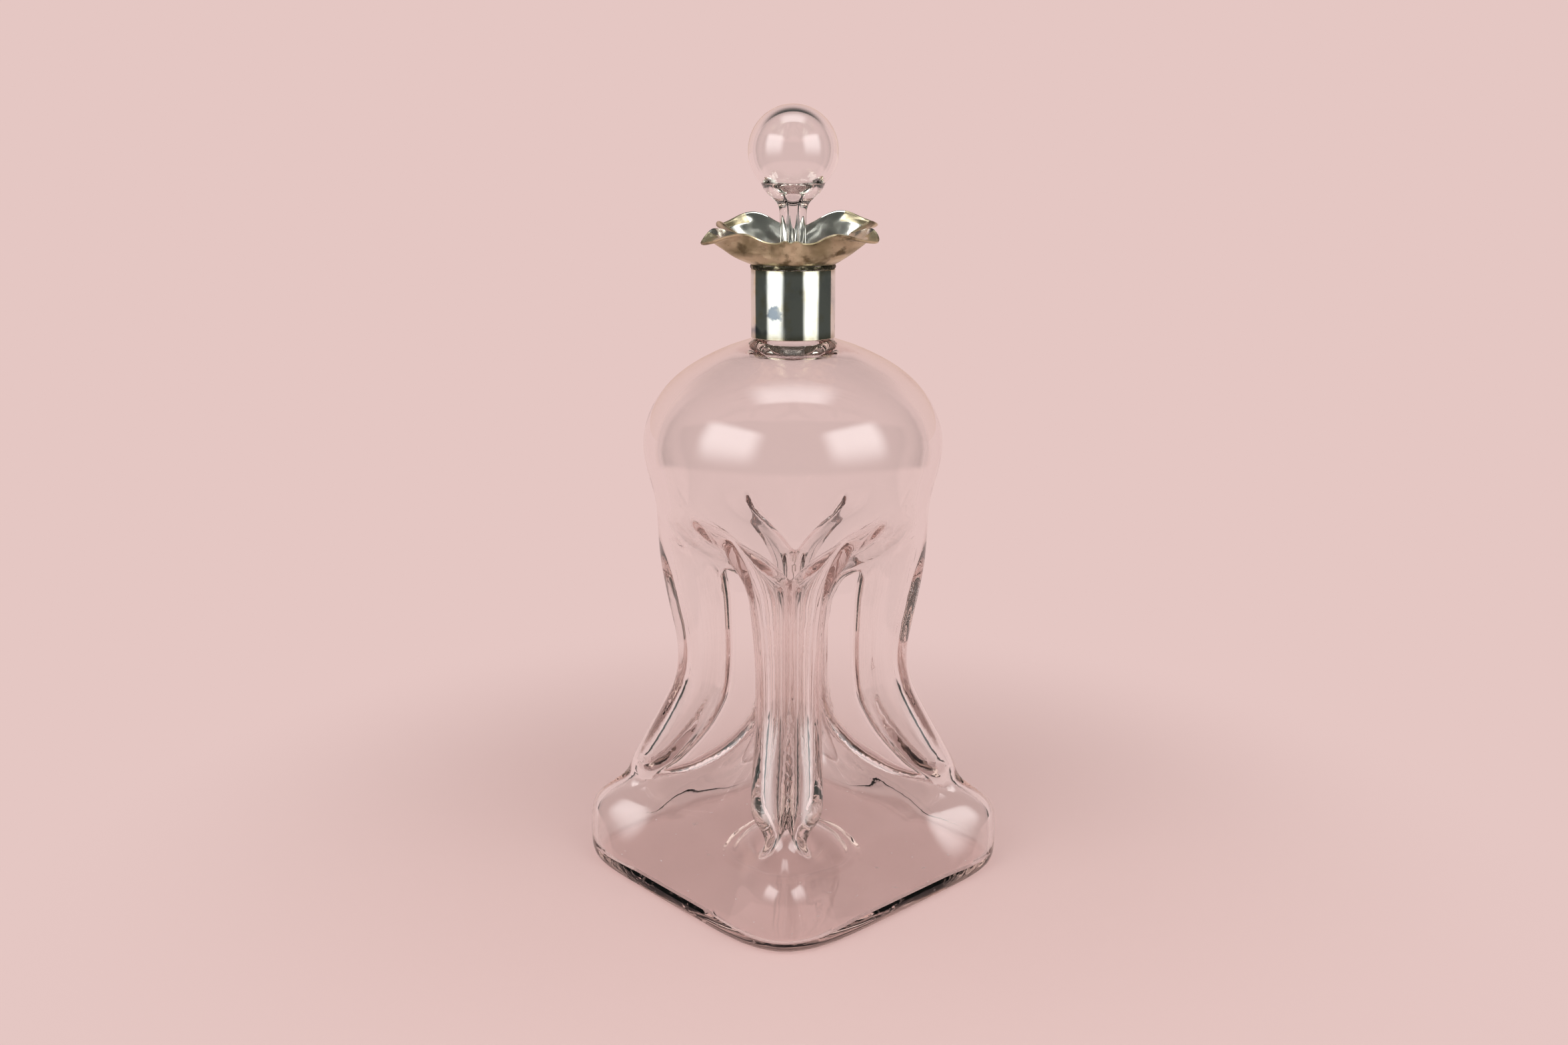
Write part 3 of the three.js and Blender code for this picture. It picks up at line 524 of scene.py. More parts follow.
def depths(field, origin):
    """Signed distance to the zero of a field, near it and inside it."""
    points, quads = quads_at_zero(field, origin, GRID)
    corners = (points - origin).astype(np.float32)
    grid = vdb.FloatGrid.createLevelSetFromPolygons(
        corners, None, quads.astype(np.uint32), vdb.createLinearTransform(GRID), BAND_OUTSIDE, BAND_INSIDE
    )
    out = np.zeros(field.shape, np.float32)
    grid.copyToArray(out)
    return out.astype(float)


tube_middle = monotone(TUBE_MIDDLE)
tube_half_width = monotone(TUBE_HALF_WIDTH)
web_outer = monotone(WEB_OUTER)
web_inner = monotone(WEB_INNER)
web_half = monotone(WEB_HALF)
groove_floor = monotone(GROOVE_FLOOR)
squareness = monotone(SQUARENESS)
edge_round = monotone(EDGE_ROUND)
leaning = [(z, r) for r, z in OUTLINE if PANEL_HEIGHTS[0] <= z <= PANEL_HEIGHTS[1]]
diagonal_reach = monotone([(0, leaning[0][1])] + leaning)


def dent_profile(u, height):
    """Half width of what the pinching leaves beside a diagonal, at a distance along it."""
    inner = web_inner(height)
    web = web_half(height)
    floor = groove_floor(height) * DIAGONAL
    pull = BEND_PULL * math.hypot(inner - floor, floor - web)
    aside = pull * DIAGONAL
    ends = [(inner, web), (inner - pull, web), (floor + aside, floor - aside), (floor, floor)]
    t = np.linspace(1, 0, BEND_STEPS)
    weights = [(1 - t) ** 3, 3 * t * (1 - t) ** 2, 3 * t**2 * (1 - t), t**3]
    bend = sum(w[:, None] * np.array(end)[None, :] for w, end in zip(weights, ends))

    outer = web_outer(height)
    middle = tube_middle(height)
    half = tube_half_width(height)
    s = np.linspace(0, 1, FLANK_STEPS)
    along = outer + (middle - outer) * s
    flank = np.stack([along, web + (half - web) * (1 - np.cos(math.pi * s)) / 2], 1)

    first = np.array([[floor - GROOVE_BEYOND, floor + GROOVE_BEYOND]])
    last = np.array([[middle + TUBE_BEYOND[0], half + TUBE_BEYOND[1]]])
    line = np.concatenate([first, bend, flank, last])
    rising = np.diff(np.maximum.accumulate(line[:, 0])) > TINY
    line = line[np.concatenate([[True], rising])]
    return np.interp(u, line[:, 0], line[:, 1])


def panel_shift(height, squareness_here, across):
    """How far the foot's side leans in, in the outline's measure, across the side from its middle."""
    side = 2 ** (0.5 - 1 / squareness_here)
    depth = diagonal_reach(height) - side * groove_floor(height)
    return depth * (1 - smooth_step(across, PANEL_FLAT, PANEL_HALF_WIDTH))


def bottle_slice(x, y, z, radii, distance):
    """The bottle's field at one height: foot with leaning sides, pinched waist or plain dome."""
    n = squareness(z)
    m = (x**n + y**n) ** (1 / n) * 2 ** (0.5 - 1 / n)
    plain = np.interp(m, radii, distance)
    foot = np.interp(m + panel_shift(z, n, np.minimum(x, y)), radii, distance)
    along = np.arange(*DENT_TABLE)
    half = dent_profile(along, z)
    slope = np.gradient(half, along)
    u = (x + y) * DIAGONAL
    v = np.abs(x - y) * DIAGONAL
    dent = (v - np.interp(u, along, half)) / np.sqrt(1 + np.interp(u, along, slope) ** 2)
    waist = smooth_max(plain, dent, edge_round(z))
    low = mixed(foot, waist, smooth_step(z, *SHELF))
    return mixed(low, plain, smooth_step(z, *DOME))


def outer_field():
    """The bottle's outside, worked out on a quarter of the grid and mirrored to the whole."""
    xs = np.arange(-GRID_HALF, GRID_HALF + 1) * GRID
    zs = np.arange(*GRID_HEIGHTS) * GRID
    quarter = xs[GRID_HALF:]
    x, y = np.meshgrid(quarter, quarter, indexing="ij")
    radii = np.arange(*OUTLINE_TABLE)
    table = outline_distance(radii, zs)
    field = np.stack([bottle_slice(x, y, z, radii, table[:, k]) for k, z in enumerate(zs)], -1)
    field = np.concatenate([field[:0:-1], field], 0)
    field = np.concatenate([field[:, :0:-1], field], 1)
    return blur(field, BLUR), np.array([xs[0], xs[0], zs[0]])


def kick_up(radius):
    """How high the floor rises towards its middle."""
    return KICK_HEIGHT * np.maximum(0, 1 - (radius / KICK_RADIUS) ** 2)


def hollow_field(field, origin):
    """The space inside the bottle, a wall's thickness below the outside and above the floor."""
    x = origin[0] + np.arange(field.shape[0]) * GRID
    z = origin[2] + np.arange(field.shape[2]) * GRID
    kick = kick_up(np.hypot(x[:, None], x[None, :]))
    above_floor = kick[:, :, None] + (FLOOR - z)[None, None, :]
    below_wall = depths(field, origin) + monotone(WALL)(z)
    return blur(smooth_max(below_wall, above_floor, FLOOR_ROUND), BLUR)


def mesh_object(name, points, faces):
    mesh = bpy.data.meshes.new(name)
    mesh.from_pydata(np.asarray(points) * MM, [], [list(f) for f in faces])
    mesh.update()
    obj = bpy.data.objects.new(name, mesh)
    bpy.context.scene.collection.objects.link(obj)
    return obj


def lathe(name, profile, sides):
    """A closed turned solid from radius and height points, run upwards outside and down inside."""
    angles = np.arange(sides) * 2 * math.pi / sides
    points = []
    rows = []
    for radius, height in profile:
        if radius < TINY:
            rows.append([len(points)] * sides)
            points.append((0, 0, height))
        else:
            rows.append(list(range(len(points), len(points) + sides)))
            points += [(radius * math.cos(a), radius * math.sin(a), height) for a in angles]
    faces = []
    ring = profile[0][0] > TINY
    for r in range(len(rows) if ring else len(rows) - 1):
        low = rows[r]
        high = rows[(r + 1) % len(rows)]
        for i in range(sides):
            n = (i + 1) % sides
            face = list(dict.fromkeys([low[i], low[n], high[n], high[i]]))
            if len(face) > 2:
                faces.append(face)
    return mesh_object(name, points, faces)


def ring_faces(sides, loop):
    """Quads round a closed ring of cross sections, each a closed loop of points."""
    faces = []
    for i in range(sides):
        j = (i + 1) % sides
        for k in range(loop):
            n = (k + 1) % loop
            faces.append((i * loop + k, j * loop + k, j * loop + n, i * loop + n))
    return faces


def cut(target, tool, operation):
    modifier = target.modifiers.new("cut", "BOOLEAN")
    modifier.operation = operation
    modifier.solver = "MANIFOLD"
    modifier.object = tool
    bpy.context.view_layer.update()
    depsgraph = bpy.context.evaluated_depsgraph_get()
    mesh = bpy.data.meshes.new_from_object(target.evaluated_get(depsgraph))
    target.modifiers.clear()
    old = target.data
    target.data = mesh
    bpy.data.meshes.remove(old)
    bpy.data.objects.remove(tool)


def glass_body():
    """The pinched bottle: a hollow shell from the field, with a turned neck, bore and pontil recess."""
    field, origin = outer_field()
    outer_points, outer_quads = surface(field, origin)
    outer_points[:, 2] = np.maximum(outer_points[:, 2], 0)
    inner_points, inner_quads = surface(hollow_field(field, origin), origin)
    pontil = PONTIL_EDGE + [(r, PONTIL_DEPTH + kick_up(r)) for r in PONTIL_RADII]
    body = mesh_object("glass_bottle", outer_points, outer_quads)
    cut(body, lathe("neck", NECK_PROFILE, NECK_SIDES), "UNION")
    cut(body, mesh_object("hollow", inner_points, inner_quads), "DIFFERENCE")
    cut(body, lathe("bore", BORE_PROFILE, NECK_SIDES), "DIFFERENCE")
    cut(body, lathe("pontil", pontil, NECK_SIDES), "DIFFERENCE")
    return body


def ball_arc(radius, start):
    """The ball's outline from an angle above the stem to its top."""
    angles = np.linspace(start, math.pi / 2, ARC_STEPS + 1)
    return [(radius * math.cos(a), BALL_MIDDLE + radius * math.sin(a)) for a in angles]


def spline_profile(points):
    """The points joined by a smooth curve, kept off the axis except at its two ends."""
    line = spline(points, PROFILE_CHORDS)
    line[:, 0] = np.maximum(line[:, 0], 0)
    line[[0, -1], 0] = 0
    off_axis = line[:, 0] > AXIS_GAP
    off_axis[[0, -1]] = True
    return line[off_axis]


def stopper():
    """One piece of glass: a ground plug, a stem with a fine bore and a hollow ball."""
    outside = spline_profile(STOPPER_OUTSIDE + ball_arc(*BALL))
    hollow = spline_profile(STOPPER_HOLLOW + ball_arc(*BALL_HOLLOW))
    body = lathe("glass_stopper", outside, STOPPER_SIDES)
    cut(body, lathe("void", hollow, HOLLOW_SIDES), "DIFFERENCE")
    return body


def neck_sleeve():
    return lathe("sleeve", SLEEVE_PROFILE, SLEEVE_SIDES)


def mount_bedding():
    inner, outer = BEDDING_RADII
    bottom, top = BEDDING_HEIGHTS
    return lathe("bedding", [(inner, bottom), (outer, bottom), (outer, top), (inner, top)], BEDDING_SIDES)


def wobble(angle, waves):
    return sum(size * math.sin(count * angle + phase) for count, size, phase in waves)


def solder_seam():
    """An uneven bead of solder: a flat back inside and a bulging front, from the sleeve to the lip."""
    points = []
    for i in range(SEAM_SIDES):
        angle = 2 * math.pi * i / SEAM_SIDES
        bulge = SEAM_BULGE + wobble(angle, SEAM_WAVES)
        low = SEAM_BOTTOM - SEAM_SINK + wobble(angle, SEAM_LOW_WAVES)
        section = [(SLEEVE_INSIDE, SEAM_BOTTOM)]
        for k in range(SEAM_STEPS + 1):
            part = k / SEAM_STEPS
            radius = SLEEVE_RADIUS - SEAM_SINK + bulge * math.sin(math.pi * part)
            section.append((radius, low + (SEAM_TOP - low) * part))
        section.append((SLEEVE_INSIDE, SEAM_TOP))
        points += [(r * math.cos(angle), r * math.sin(angle), z) for r, z in section]
    return mesh_object("seam", points, ring_faces(SEAM_SIDES, SEAM_LOOP))


def lip_middle(degrees, share):
    """The middle of the lip's sheet, at angles from the front and shares of the way to its edge."""
    turn = np.radians(degrees)
    r_edge = periodic(LIP_EDGE, 1)(degrees)
    z_edge = periodic(LIP_EDGE, 2)(degrees)
    root = SLEEVE_RADIUS - LIP_THICKNESS / 2
    bumps = sum(
        size * np.sin(count * turn + phase) * np.sin(math.pi * waves * share)
        for count, waves, size, phase in LIP_BUMPS
    )
    r = root + (r_edge - root) * share + bumps
    z = LIP_ROOT + (z_edge - LIP_ROOT) * monotone(LIP_RISE)(share)
    z = z - LIP_TILT * r * np.cos(turn) * share
    z = z - LIP_DROOP * smooth_step(share, LIP_DROOP_START, 1) * smooth_step(r_edge, *LIP_DROOP_REACH)
    return np.stack([r * np.cos(turn + FRONT), r * np.sin(turn + FRONT), z], -1)


def petal_lip():
    """A sheet of even thickness on both sides of its middle, set on the seam, with a ridge along its edge."""
    degrees = (np.arange(LIP_SIDES) * 360 / LIP_SIDES)[:, None]
    middle = lip_middle(degrees, np.linspace(0, 1, LIP_STEPS + 1)[None, :])
    sideways = np.roll(middle, -1, 0) - np.roll(middle, 1, 0)
    normal = np.cross(sideways, np.gradient(middle, axis=1))
    normal /= np.linalg.norm(normal, axis=-1, keepdims=True)
    outer = middle + normal * (LIP_THICKNESS / 2)
    inner = middle - normal * (LIP_THICKNESS / 2)
    angle = np.radians(degrees) + FRONT
    outwards = np.concatenate([np.cos(angle), np.sin(angle)], 1)
    for sheet, radius in ((outer, SLEEVE_RADIUS), (inner, SLEEVE_RADIUS - LIP_THICKNESS)):
        sheet[:, 0, :2] = radius * outwards
        sheet[:, 0, 2] = LIP_ROOT
    edge = middle[:, -1:] + LIP_CREST * (middle[:, -1:] - middle[:, -2:-1])
    ring = np.concatenate([outer, edge, inner[:, ::-1]], 1)
    return mesh_object("lip", ring.reshape(-1, 3), ring_faces(LIP_SIDES, LIP_LOOP))


def brighten_inside(lip, material):
    """Gives the lip's inner faces a material of their own, apart from the petals' tips."""
    lip.data.materials.append(material)
    reach = periodic(LIP_EDGE, 1)
    for face in lip.data.polygons:
        side, k = divmod(face.index, LIP_LOOP)
        share = (2 * LIP_STEPS + 2 - k) / LIP_STEPS
        tip = share > LIP_TIP_SHARE and reach(side * 360 / LIP_SIDES) > LIP_TIP_REACH
        face.material_index = int(k > LIP_STEPS and not tip)


def add_camera():
    data = bpy.data.cameras.new("camera")
    data.lens = LENS
    data.sensor_width = SENSOR
    data.sensor_fit = "HORIZONTAL"
    data.clip_start, data.clip_end = CLIP
    camera = bpy.data.objects.new("camera", data)
    back = Vector((math.sin(AZIMUTH), -math.cos(AZIMUTH), 0))
    right = Vector((math.cos(AZIMUTH), math.sin(AZIMUTH), 0))
    up = Vector((0, 0, 1))
    camera.location = (back * CAMERA_DISTANCE - right * CAMERA_LEFT + up * CAMERA_HEIGHT) * MM
    camera.rotation_euler = (math.pi / 2 - PITCH, 0, AZIMUTH)
    bpy.context.scene.collection.objects.link(camera)
    bpy.context.scene.camera = camera


def empty_tree(owner):
    """The node tree of a material, lamp or world, with nothing in it."""
    owner.use_nodes = True
    owner.node_tree.nodes.clear()
    return owner.node_tree


def add(tree, kind):
    return tree.nodes.new("ShaderNode" + kind)


def link(tree, value, socket):
    """Sets a socket to a number or a colour, or links another node's output to it."""
    if isinstance(value, (int, float, tuple)):
        socket.default_value = value
    else:
        tree.links.new(value, socket)


def maths(tree, operation, a, b):
    node = add(tree, "Math")
    node.operation = operation
    link(tree, a, node.inputs[0])
    link(tree, b, node.inputs[1])
    return node.outputs[0]


def vector_maths(tree, operation, a, b=(0, 0, 0)):
    """A vector node: its vector output for NORMALIZE, and its number for the others."""
    node = add(tree, "VectorMath")
    node.operation = operation
    link(tree, a, node.inputs[0])
    link(tree, b, node.inputs[1])
    return node.outputs["Vector" if operation == "NORMALIZE" else "Value"]


def part_of(tree, vector, axis):
    node = add(tree, "SeparateXYZ")
    link(tree, vector, node.inputs[0])
    return node.outputs[axis]


def position(tree):
    return add(tree, "NewGeometry").outputs["Position"]


def light_path(tree, output):
    return add(tree, "LightPath").outputs[output]


def smooth_range(tree, value, start, end):
    """0 at start and 1 at end, with a smooth rise between them."""
    node = add(tree, "MapRange")
    node.interpolation_type = "SMOOTHSTEP"
    link(tree, start, node.inputs["From Min"])
    link(tree, end, node.inputs["From Max"])
    link(tree, value, node.inputs["Value"])
    return node.outputs[0]


def between(tree, share, first, second):
    node = add(tree, "MapRange")
    link(tree, first, node.inputs["To Min"])
    link(tree, second, node.inputs["To Max"])
    link(tree, share, node.inputs["Value"])
    return node.outputs[0]


def tinted(tree, share, first, second):
    """A colour between two others, each a colour or another node's output."""
    node = add(tree, "Mix")
    node.data_type = "RGBA"
    link(tree, share, node.inputs["Factor"])
    link(tree, first, node.inputs["A"])
    link(tree, second, node.inputs["B"])
    return node.outputs["Result"]


def mix_shader(tree, share, first, second):
    node = add(tree, "MixShader")
    for value, socket in zip((share, first, second), node.inputs):
        link(tree, value, socket)
    return node.outputs[0]


def background(tree, colour, strength=1.0):
    node = add(tree, "Background")
    link(tree, colour, node.inputs["Color"])
    link(tree, strength, node.inputs["Strength"])
    return node.outputs[0]


def soften(lamp):
    """Fades a soft box towards its edges, most of all towards its lower one."""
    tree = empty_tree(lamp)
    across = add(tree, "NewGeometry").outputs["Parametric"]
    strength = 1.0
    for axis, dark, full in BOX_FADES:
        fade = smooth_range(tree, part_of(tree, across, axis), dark, full)
        strength = maths(tree, "MULTIPLY", strength, fade)
    emit = add(tree, "Emission")
    link(tree, strength, emit.inputs["Strength"])
    link(tree, emit.outputs[0], add(tree, "OutputLight").inputs[0])


def add_light(name, azimuth, elevation, width, height, strength, mirrored):
    """A soft box that faces the bottle, either seen in reflections or lighting matt surfaces."""
    data = bpy.data.lights.new(name, "AREA")
    data.shape = "RECTANGLE"
    data.size = width
    data.size_y = height
    data.energy = strength * width * height * math.pi
    light = bpy.data.objects.new(name, data)
    turn = AZIMUTH + math.radians(azimuth)
    rise = math.radians(elevation)
    away = Vector((math.cos(rise) * math.sin(turn), -math.cos(rise) * math.cos(turn), math.sin(rise)))
    light.location = Vector(LIGHT_TARGET) + away * LIGHT_DISTANCE
    light.rotation_euler = away.to_track_quat("Z", "Y").to_euler()
    light.visible_transmission = False
    light.visible_diffuse = not mirrored
    light.visible_glossy = mirrored
    if mirrored:
        soften(data)
    bpy.context.scene.collection.objects.link(light)


def backdrop_mask(tree):
    """1 where a path shows the paper: camera rays, and rays through the glass that never mirrored."""
    straight = maths(tree, "LESS_THAN", light_path(tree, "Glossy Depth"), ANY_BOUNCE)
    through = maths(tree, "MULTIPLY", light_path(tree, "Is Transmission Ray"), straight)
    return maths(tree, "MAXIMUM", light_path(tree, "Is Camera Ray"), through)


def stage_share(tree):
    """1 low behind the bottle, where polished surfaces see the paper, and 0 in front of it and overhead."""
    place = position(tree)
    direction = vector_maths(tree, "NORMALIZE", place)
    straight_back = (-math.sin(AZIMUTH), math.cos(AZIMUTH), 0)
    behind = vector_maths(tree, "DOT_PRODUCT", direction, straight_back)
    behind = smooth_range(tree, behind, *STAGE_BEHIND)
    low = smooth_range(tree, part_of(tree, place, "Z"), *STAGE_LOW)
    return maths(tree, "MULTIPLY", behind, low)


def add_world():
    """Paper for the camera, a plain sky for matt surfaces, and a dark room with paper behind for gloss."""
    world = bpy.data.worlds.new("studio")
    bpy.context.scene.world = world
    tree = empty_tree(world)
    through_glass = light_path(tree, "Is Transmission Ray")
    behind = mix_shader(tree, through_glass, background(tree, PAPER_ASIDE), background(tree, PAPER))
    trapped = smooth_range(tree, light_path(tree, "Glossy Depth"), *TRAPPED_DEPTH)
    through = mix_shader(tree, trapped, background(tree, DARK_THROUGH), background(tree, TRAPPED))
    inside = maths(tree, "GREATER_THAN", light_path(tree, "Transmission Depth"), ANY_BOUNCE)
    dark = mix_shader(tree, inside, background(tree, DARK), through)
    room = mix_shader(tree, stage_share(tree), dark, behind)
    sky = background(tree, SKY, SKY_STRENGTH)
    unseen = mix_shader(tree, light_path(tree, "Is Diffuse Ray"), room, sky)
    shown = mix_shader(tree, backdrop_mask(tree), unseen, background(tree, PAPER))
    link(tree, shown, add(tree, "OutputWorld").inputs[0])


def new_material(name):
    """A material with an empty tree and its output."""
    material = bpy.data.materials.new(name)
    tree = empty_tree(material)
    return material, tree, add(tree, "OutputMaterial")


def paper_material():
    """Matt where the bottle's shadow falls, even paper further out, and clear to mirrors far in front."""
    material, tree, out = new_material("paper")
    diffuse = add(tree, "BsdfDiffuse")
    link(tree, FLOOR_COLOUR, diffuse.inputs["Color"])
    emit = add(tree, "Emission")
    link(tree, PAPER, emit.inputs["Color"])
    distance = vector_maths(tree, "LENGTH", position(tree))
    far = smooth_range(tree, distance, *FLOOR_FADE)
    paper = mix_shader(tree, far, diffuse.outputs[0], emit.outputs[0])
    mirrored = maths(tree, "GREATER_THAN", light_path(tree, "Glossy Depth"), ANY_BOUNCE)
    in_front = maths(tree, "SUBTRACT", 1.0, stage_share(tree))
    ended = maths(tree, "MULTIPLY", smooth_range(tree, distance, *FLOOR_MIRRORED), in_front)
    gone = maths(tree, "MULTIPLY", mirrored, ended)
    clear = add(tree, "BsdfTransparent")
    link(tree, mix_shader(tree, gone, paper, clear.outputs[0]), out.inputs["Surface"])
    return material


def add_floor():
    bm = bmesh.new()
    bmesh.ops.create_circle(bm, cap_ends=True, segments=FLOOR_SIDES, radius=FLOOR_RADIUS)
    mesh = bpy.data.meshes.new("floor")
    bm.to_mesh(mesh)
    bm.free()
    floor = bpy.data.objects.new("floor", mesh)
    floor.location.z = -FLOOR_SINK
    bpy.context.scene.collection.objects.link(floor)
    mesh.materials.append(paper_material())


def object_place(tree):
    return add(tree, "TexCoord").outputs["Object"]


def noise(tree, place, scale, detail, stretch=(1, 1, 1)):
    mapping = add(tree, "Mapping")
    link(tree, stretch, mapping.inputs["Scale"])
    link(tree, place, mapping.inputs["Vector"])
    node = add(tree, "TexNoise")
    link(tree, scale, node.inputs["Scale"])
    link(tree, detail, node.inputs["Detail"])
    link(tree, mapping.outputs[0], node.inputs["Vector"])
    return node.outputs["Fac"]


def patches(tree, place, scale, detail, start, end):
    return smooth_range(tree, noise(tree, place, scale, detail), start, end)


def bump(tree, height, depth, before=None):
    """A relief of the given depth in metres from a height between 0 and 1, on top of another."""
    node = add(tree, "Bump")
    link(tree, 1, node.inputs["Strength"])
    link(tree, depth, node.inputs["Distance"])
    link(tree, height, node.inputs["Height"])
    if before is not None:
        link(tree, before, node.inputs["Normal"])
    return node.outputs[0]


def relief(tree, place, scale, detail, depth, before=None, stretch=(1, 1, 1)):
    return bump(tree, noise(tree, place, scale, detail, stretch), depth, before)


def ground_plug(tree, place):
    """The stopper's roughness: frosted below the neck's top."""
    frosted = smooth_range(tree, part_of(tree, place, "Z"), *GROUND_HEIGHTS)
    grain = noise(tree, place, *GROUND_NOISE)
    return maths(tree, "MULTIPLY", frosted, between(tree, grain, *GROUND_ROUGHNESS))


def scuffed_foot(tree, place):
    """The bottle's roughness: scuffs where it stands."""
    scuffs = patches(tree, place, *SCUFF_PATCHES)
    foot = smooth_range(tree, part_of(tree, place, "Z"), *SCUFF_HEIGHTS)
    return maths(tree, "MULTIPLY", scuffs, between(tree, foot, *SCUFF_ROUGHNESS))


def glass_material(name, roughness):
    """Old clear glass: a faint warm tint in its depth, slow ripples, and light let through in its shadow."""
    material, tree, out = new_material(name)
    place = object_place(tree)
    glass = add(tree, "BsdfPrincipled")
    link(tree, GLASS_TINT, glass.inputs["Base Color"])
    link(tree, GLASS_IOR, glass.inputs["IOR"])
    link(tree, 1, glass.inputs["Transmission Weight"])
    link(tree, relief(tree, place, *GLASS_RIPPLES), glass.inputs["Normal"])
    link(tree, roughness(tree, place), glass.inputs["Roughness"])
    clear = add(tree, "BsdfTransparent")
    link(tree, SHADOW_TINT, clear.inputs["Color"])
    shadow = light_path(tree, "Is Shadow Ray")
    link(tree, mix_shader(tree, shadow, glass.outputs[0], clear.outputs[0]), out.inputs["Surface"])
    depth = add(tree, "VolumeAbsorption")
    link(tree, ABSORPTION_COLOUR, depth.inputs["Color"])
    link(tree, ABSORPTION_DENSITY, depth.inputs["Density"])
    link(tree, depth.outputs[0], out.inputs["Volume"])
    return material


def surface_shader(tree, out, metallic, colour, roughness, normal):
    shader = add(tree, "BsdfPrincipled")
    link(tree, metallic, shader.inputs["Metallic"])
    link(tree, colour, shader.inputs["Base Color"])
    link(tree, roughness, shader.inputs["Roughness"])
    link(tree, normal, shader.inputs["Normal"])
    link(tree, shader.outputs[0], out.inputs["Surface"])


def spot_share(tree, place):
    """1 in the sleeve's blue stain, with a ragged edge."""
    distance = vector_maths(tree, "DISTANCE", place, SPOT_PLACE)
    waves = between(tree, noise(tree, place, *SPOT_NOISE), *SPOT_WAVES)
    inside = smooth_range(tree, maths(tree, "ADD", distance, waves), *SPOT_FADE)
    return maths(tree, "MULTIPLY", inside, SPOT_STRENGTH)


def rim_share(tree, place):
    """1 along the sleeve's two rims, unevenly."""
    height = part_of(tree, place, "Z")
    low = smooth_range(tree, height, *RIM_LOW)
    high = smooth_range(tree, height, *RIM_HIGH)
    uneven = between(tree, noise(tree, place, *RIM_NOISE), *RIM_STRENGTH)
    return maths(tree, "MULTIPLY", maths(tree, "MAXIMUM", low, high), uneven)


def silver_material():
    """Polished silver with cloudy tarnish, hair scratches and the slow dents of hand work."""
    material, tree, out = new_material("silver")
    place = object_place(tree)
    clouds = patches(tree, place, *SILVER_CLOUDS)
    colour = tinted(tree, clouds, SILVER, SILVER_DULL)
    colour = tinted(tree, patches(tree, place, *SILVER_STAINS), colour, SILVER_STAIN)
    colour = tinted(tree, spot_share(tree, place), colour, SPOT)
    colour = tinted(tree, patches(tree, place, *SILVER_STRAWS), colour, SILVER_STRAW)
    colour = tinted(tree, rim_share(tree, place), colour, RIM)
    dents = relief(tree, place, *SILVER_DENTS)
    scratches = relief(tree, place, *SILVER_SCRATCHES, dents, SILVER_STRETCH)
    surface_shader(tree, out, 1, colour, between(tree, clouds, *SILVER_ROUGHNESS), scratches)
    return material


def lip_inside_material():
    """The lip's bright inner face, cleaner than the sleeve."""
    material, tree, out = new_material("lip_bright")
    place = object_place(tree)
    clouds = patches(tree, place, *LIP_CLOUDS)
    dents = relief(tree, place, *LIP_INSIDE_DENTS)
    scratches = relief(tree, place, *LIP_INSIDE_SCRATCHES, dents, LIP_STRETCH)
    colour = tinted(tree, clouds, LIP_BRIGHT, LIP_DULL)
    surface_shader(tree, out, 1, colour, between(tree, clouds, *LIP_INSIDE_ROUGHNESS), scratches)
    return material


def lip_outside_material():
    """The lip's outside, dull and mottled with golden brown tarnish."""
    material, tree, out = new_material("lip_tarnished")
    place = object_place(tree)
    mottled = patches(tree, place, *LIP_PATCHES)
    colour = tinted(tree, mottled, LIP_BROWN, LIP_GOLD)
    colour = tinted(tree, patches(tree, place, *LIP_STAINS), colour, LIP_STAIN)
    specks = between(tree, patches(tree, place, *LIP_SPECKS), *LIP_SPECK_STRENGTH)
    colour = tinted(tree, specks, colour, LIP_SPECK)
    dents = relief(tree, place, *LIP_OUTSIDE_DENTS)
    grain = relief(tree, place, *LIP_OUTSIDE_GRAIN, dents)
    surface_shader(tree, out, 1, colour, between(tree, mottled, *LIP_OUTSIDE_ROUGHNESS), grain)
    return material


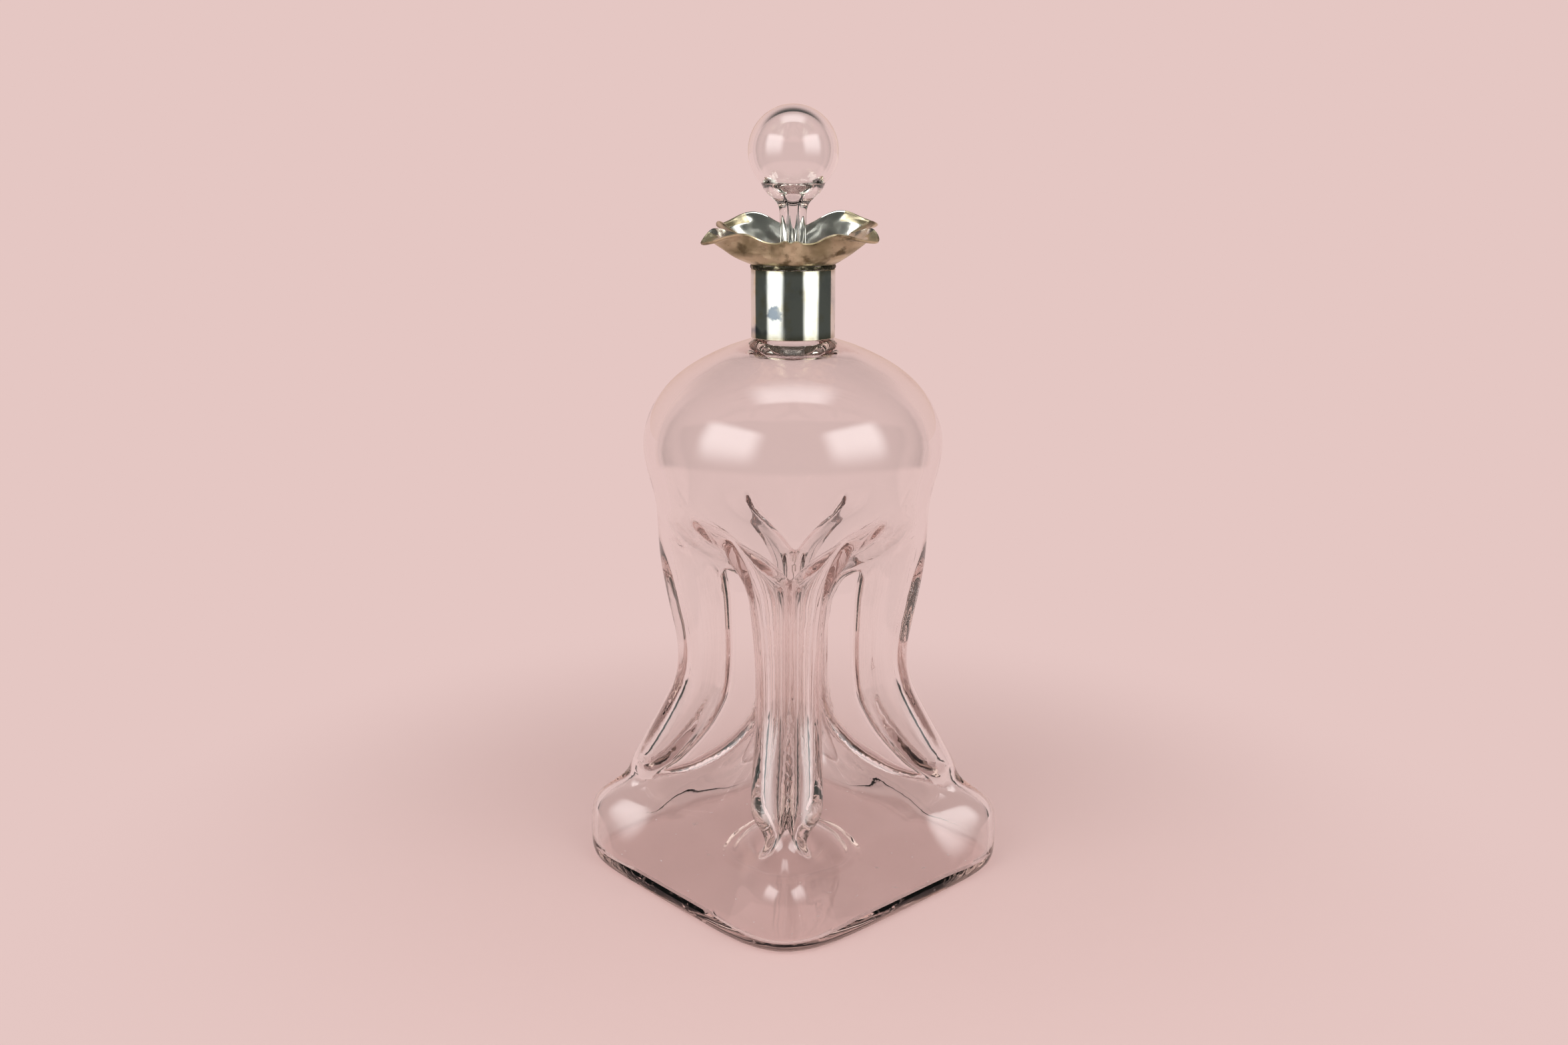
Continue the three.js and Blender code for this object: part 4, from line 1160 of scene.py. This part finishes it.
def solder_material():
    """A dark, lumpy line of old solder."""
    material, tree, out = new_material("solder")
    lumps = noise(tree, object_place(tree), *SOLDER_NOISE)
    share = smooth_range(tree, lumps, *SOLDER_PATCHES)
    colour = tinted(tree, share, SOLDER_DARK, SOLDER_PALE)
    roughness = between(tree, share, *SOLDER_ROUGHNESS)
    surface_shader(tree, out, 1, colour, roughness, bump(tree, lumps, SOLDER_DEPTH))
    return material


def plaster_material():
    """The bedding between glass and sleeve: chalky, stained and pitted."""
    material, tree, out = new_material("plaster")
    place = object_place(tree)
    colour = tinted(tree, patches(tree, place, *PLASTER_STAINS), PLASTER, PLASTER_STAINED)
    surface_shader(tree, out, 0, colour, PLASTER_ROUGHNESS, relief(tree, place, *PLASTER_PITS))
    return material


def dress(obj, body, node, material, sharp_angle):
    """Finishes a piece and lets it stand for a node and ride on its body."""
    obj.data.shade_smooth()
    obj.data.set_sharp_from_angle(angle=math.radians(sharp_angle))
    obj.data.materials.clear()
    obj.data.materials.append(material)
    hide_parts(node)
    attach(obj, body)


def set_up_studio():
    scene = bpy.context.scene
    scene.view_settings.view_transform = "Standard"
    scene.cycles.max_bounces = BOUNCES
    scene.cycles.transmission_bounces = BOUNCES
    scene.cycles.glossy_bounces = GLOSSY_BOUNCES
    add_camera()
    add_world()
    for light in LIGHTS:
        add_light(*light)
    add_floor()


def build_decanter():
    bottle_glass = glass_material("bottle_glass", scuffed_foot)
    stopper_glass = glass_material("stopper_glass", ground_plug)
    dress(glass_body(), "decanter", "glass_body", bottle_glass, GLASS_SHARP)
    dress(stopper(), "stopper", "stopper", stopper_glass, GLASS_SHARP)
    dress(neck_sleeve(), "decanter", "neck_sleeve", silver_material(), SHEET_SHARP)
    dress(mount_bedding(), "decanter", "mount_bedding", plaster_material(), SHEET_SHARP)
    dress(solder_seam(), "decanter", "solder_seam", solder_material(), LUMPY_SHARP)
    lip = petal_lip()
    dress(lip, "decanter", "petal_lip", lip_outside_material(), LUMPY_SHARP)
    brighten_inside(lip, lip_inside_material())


set_up_studio()
build_decanter()
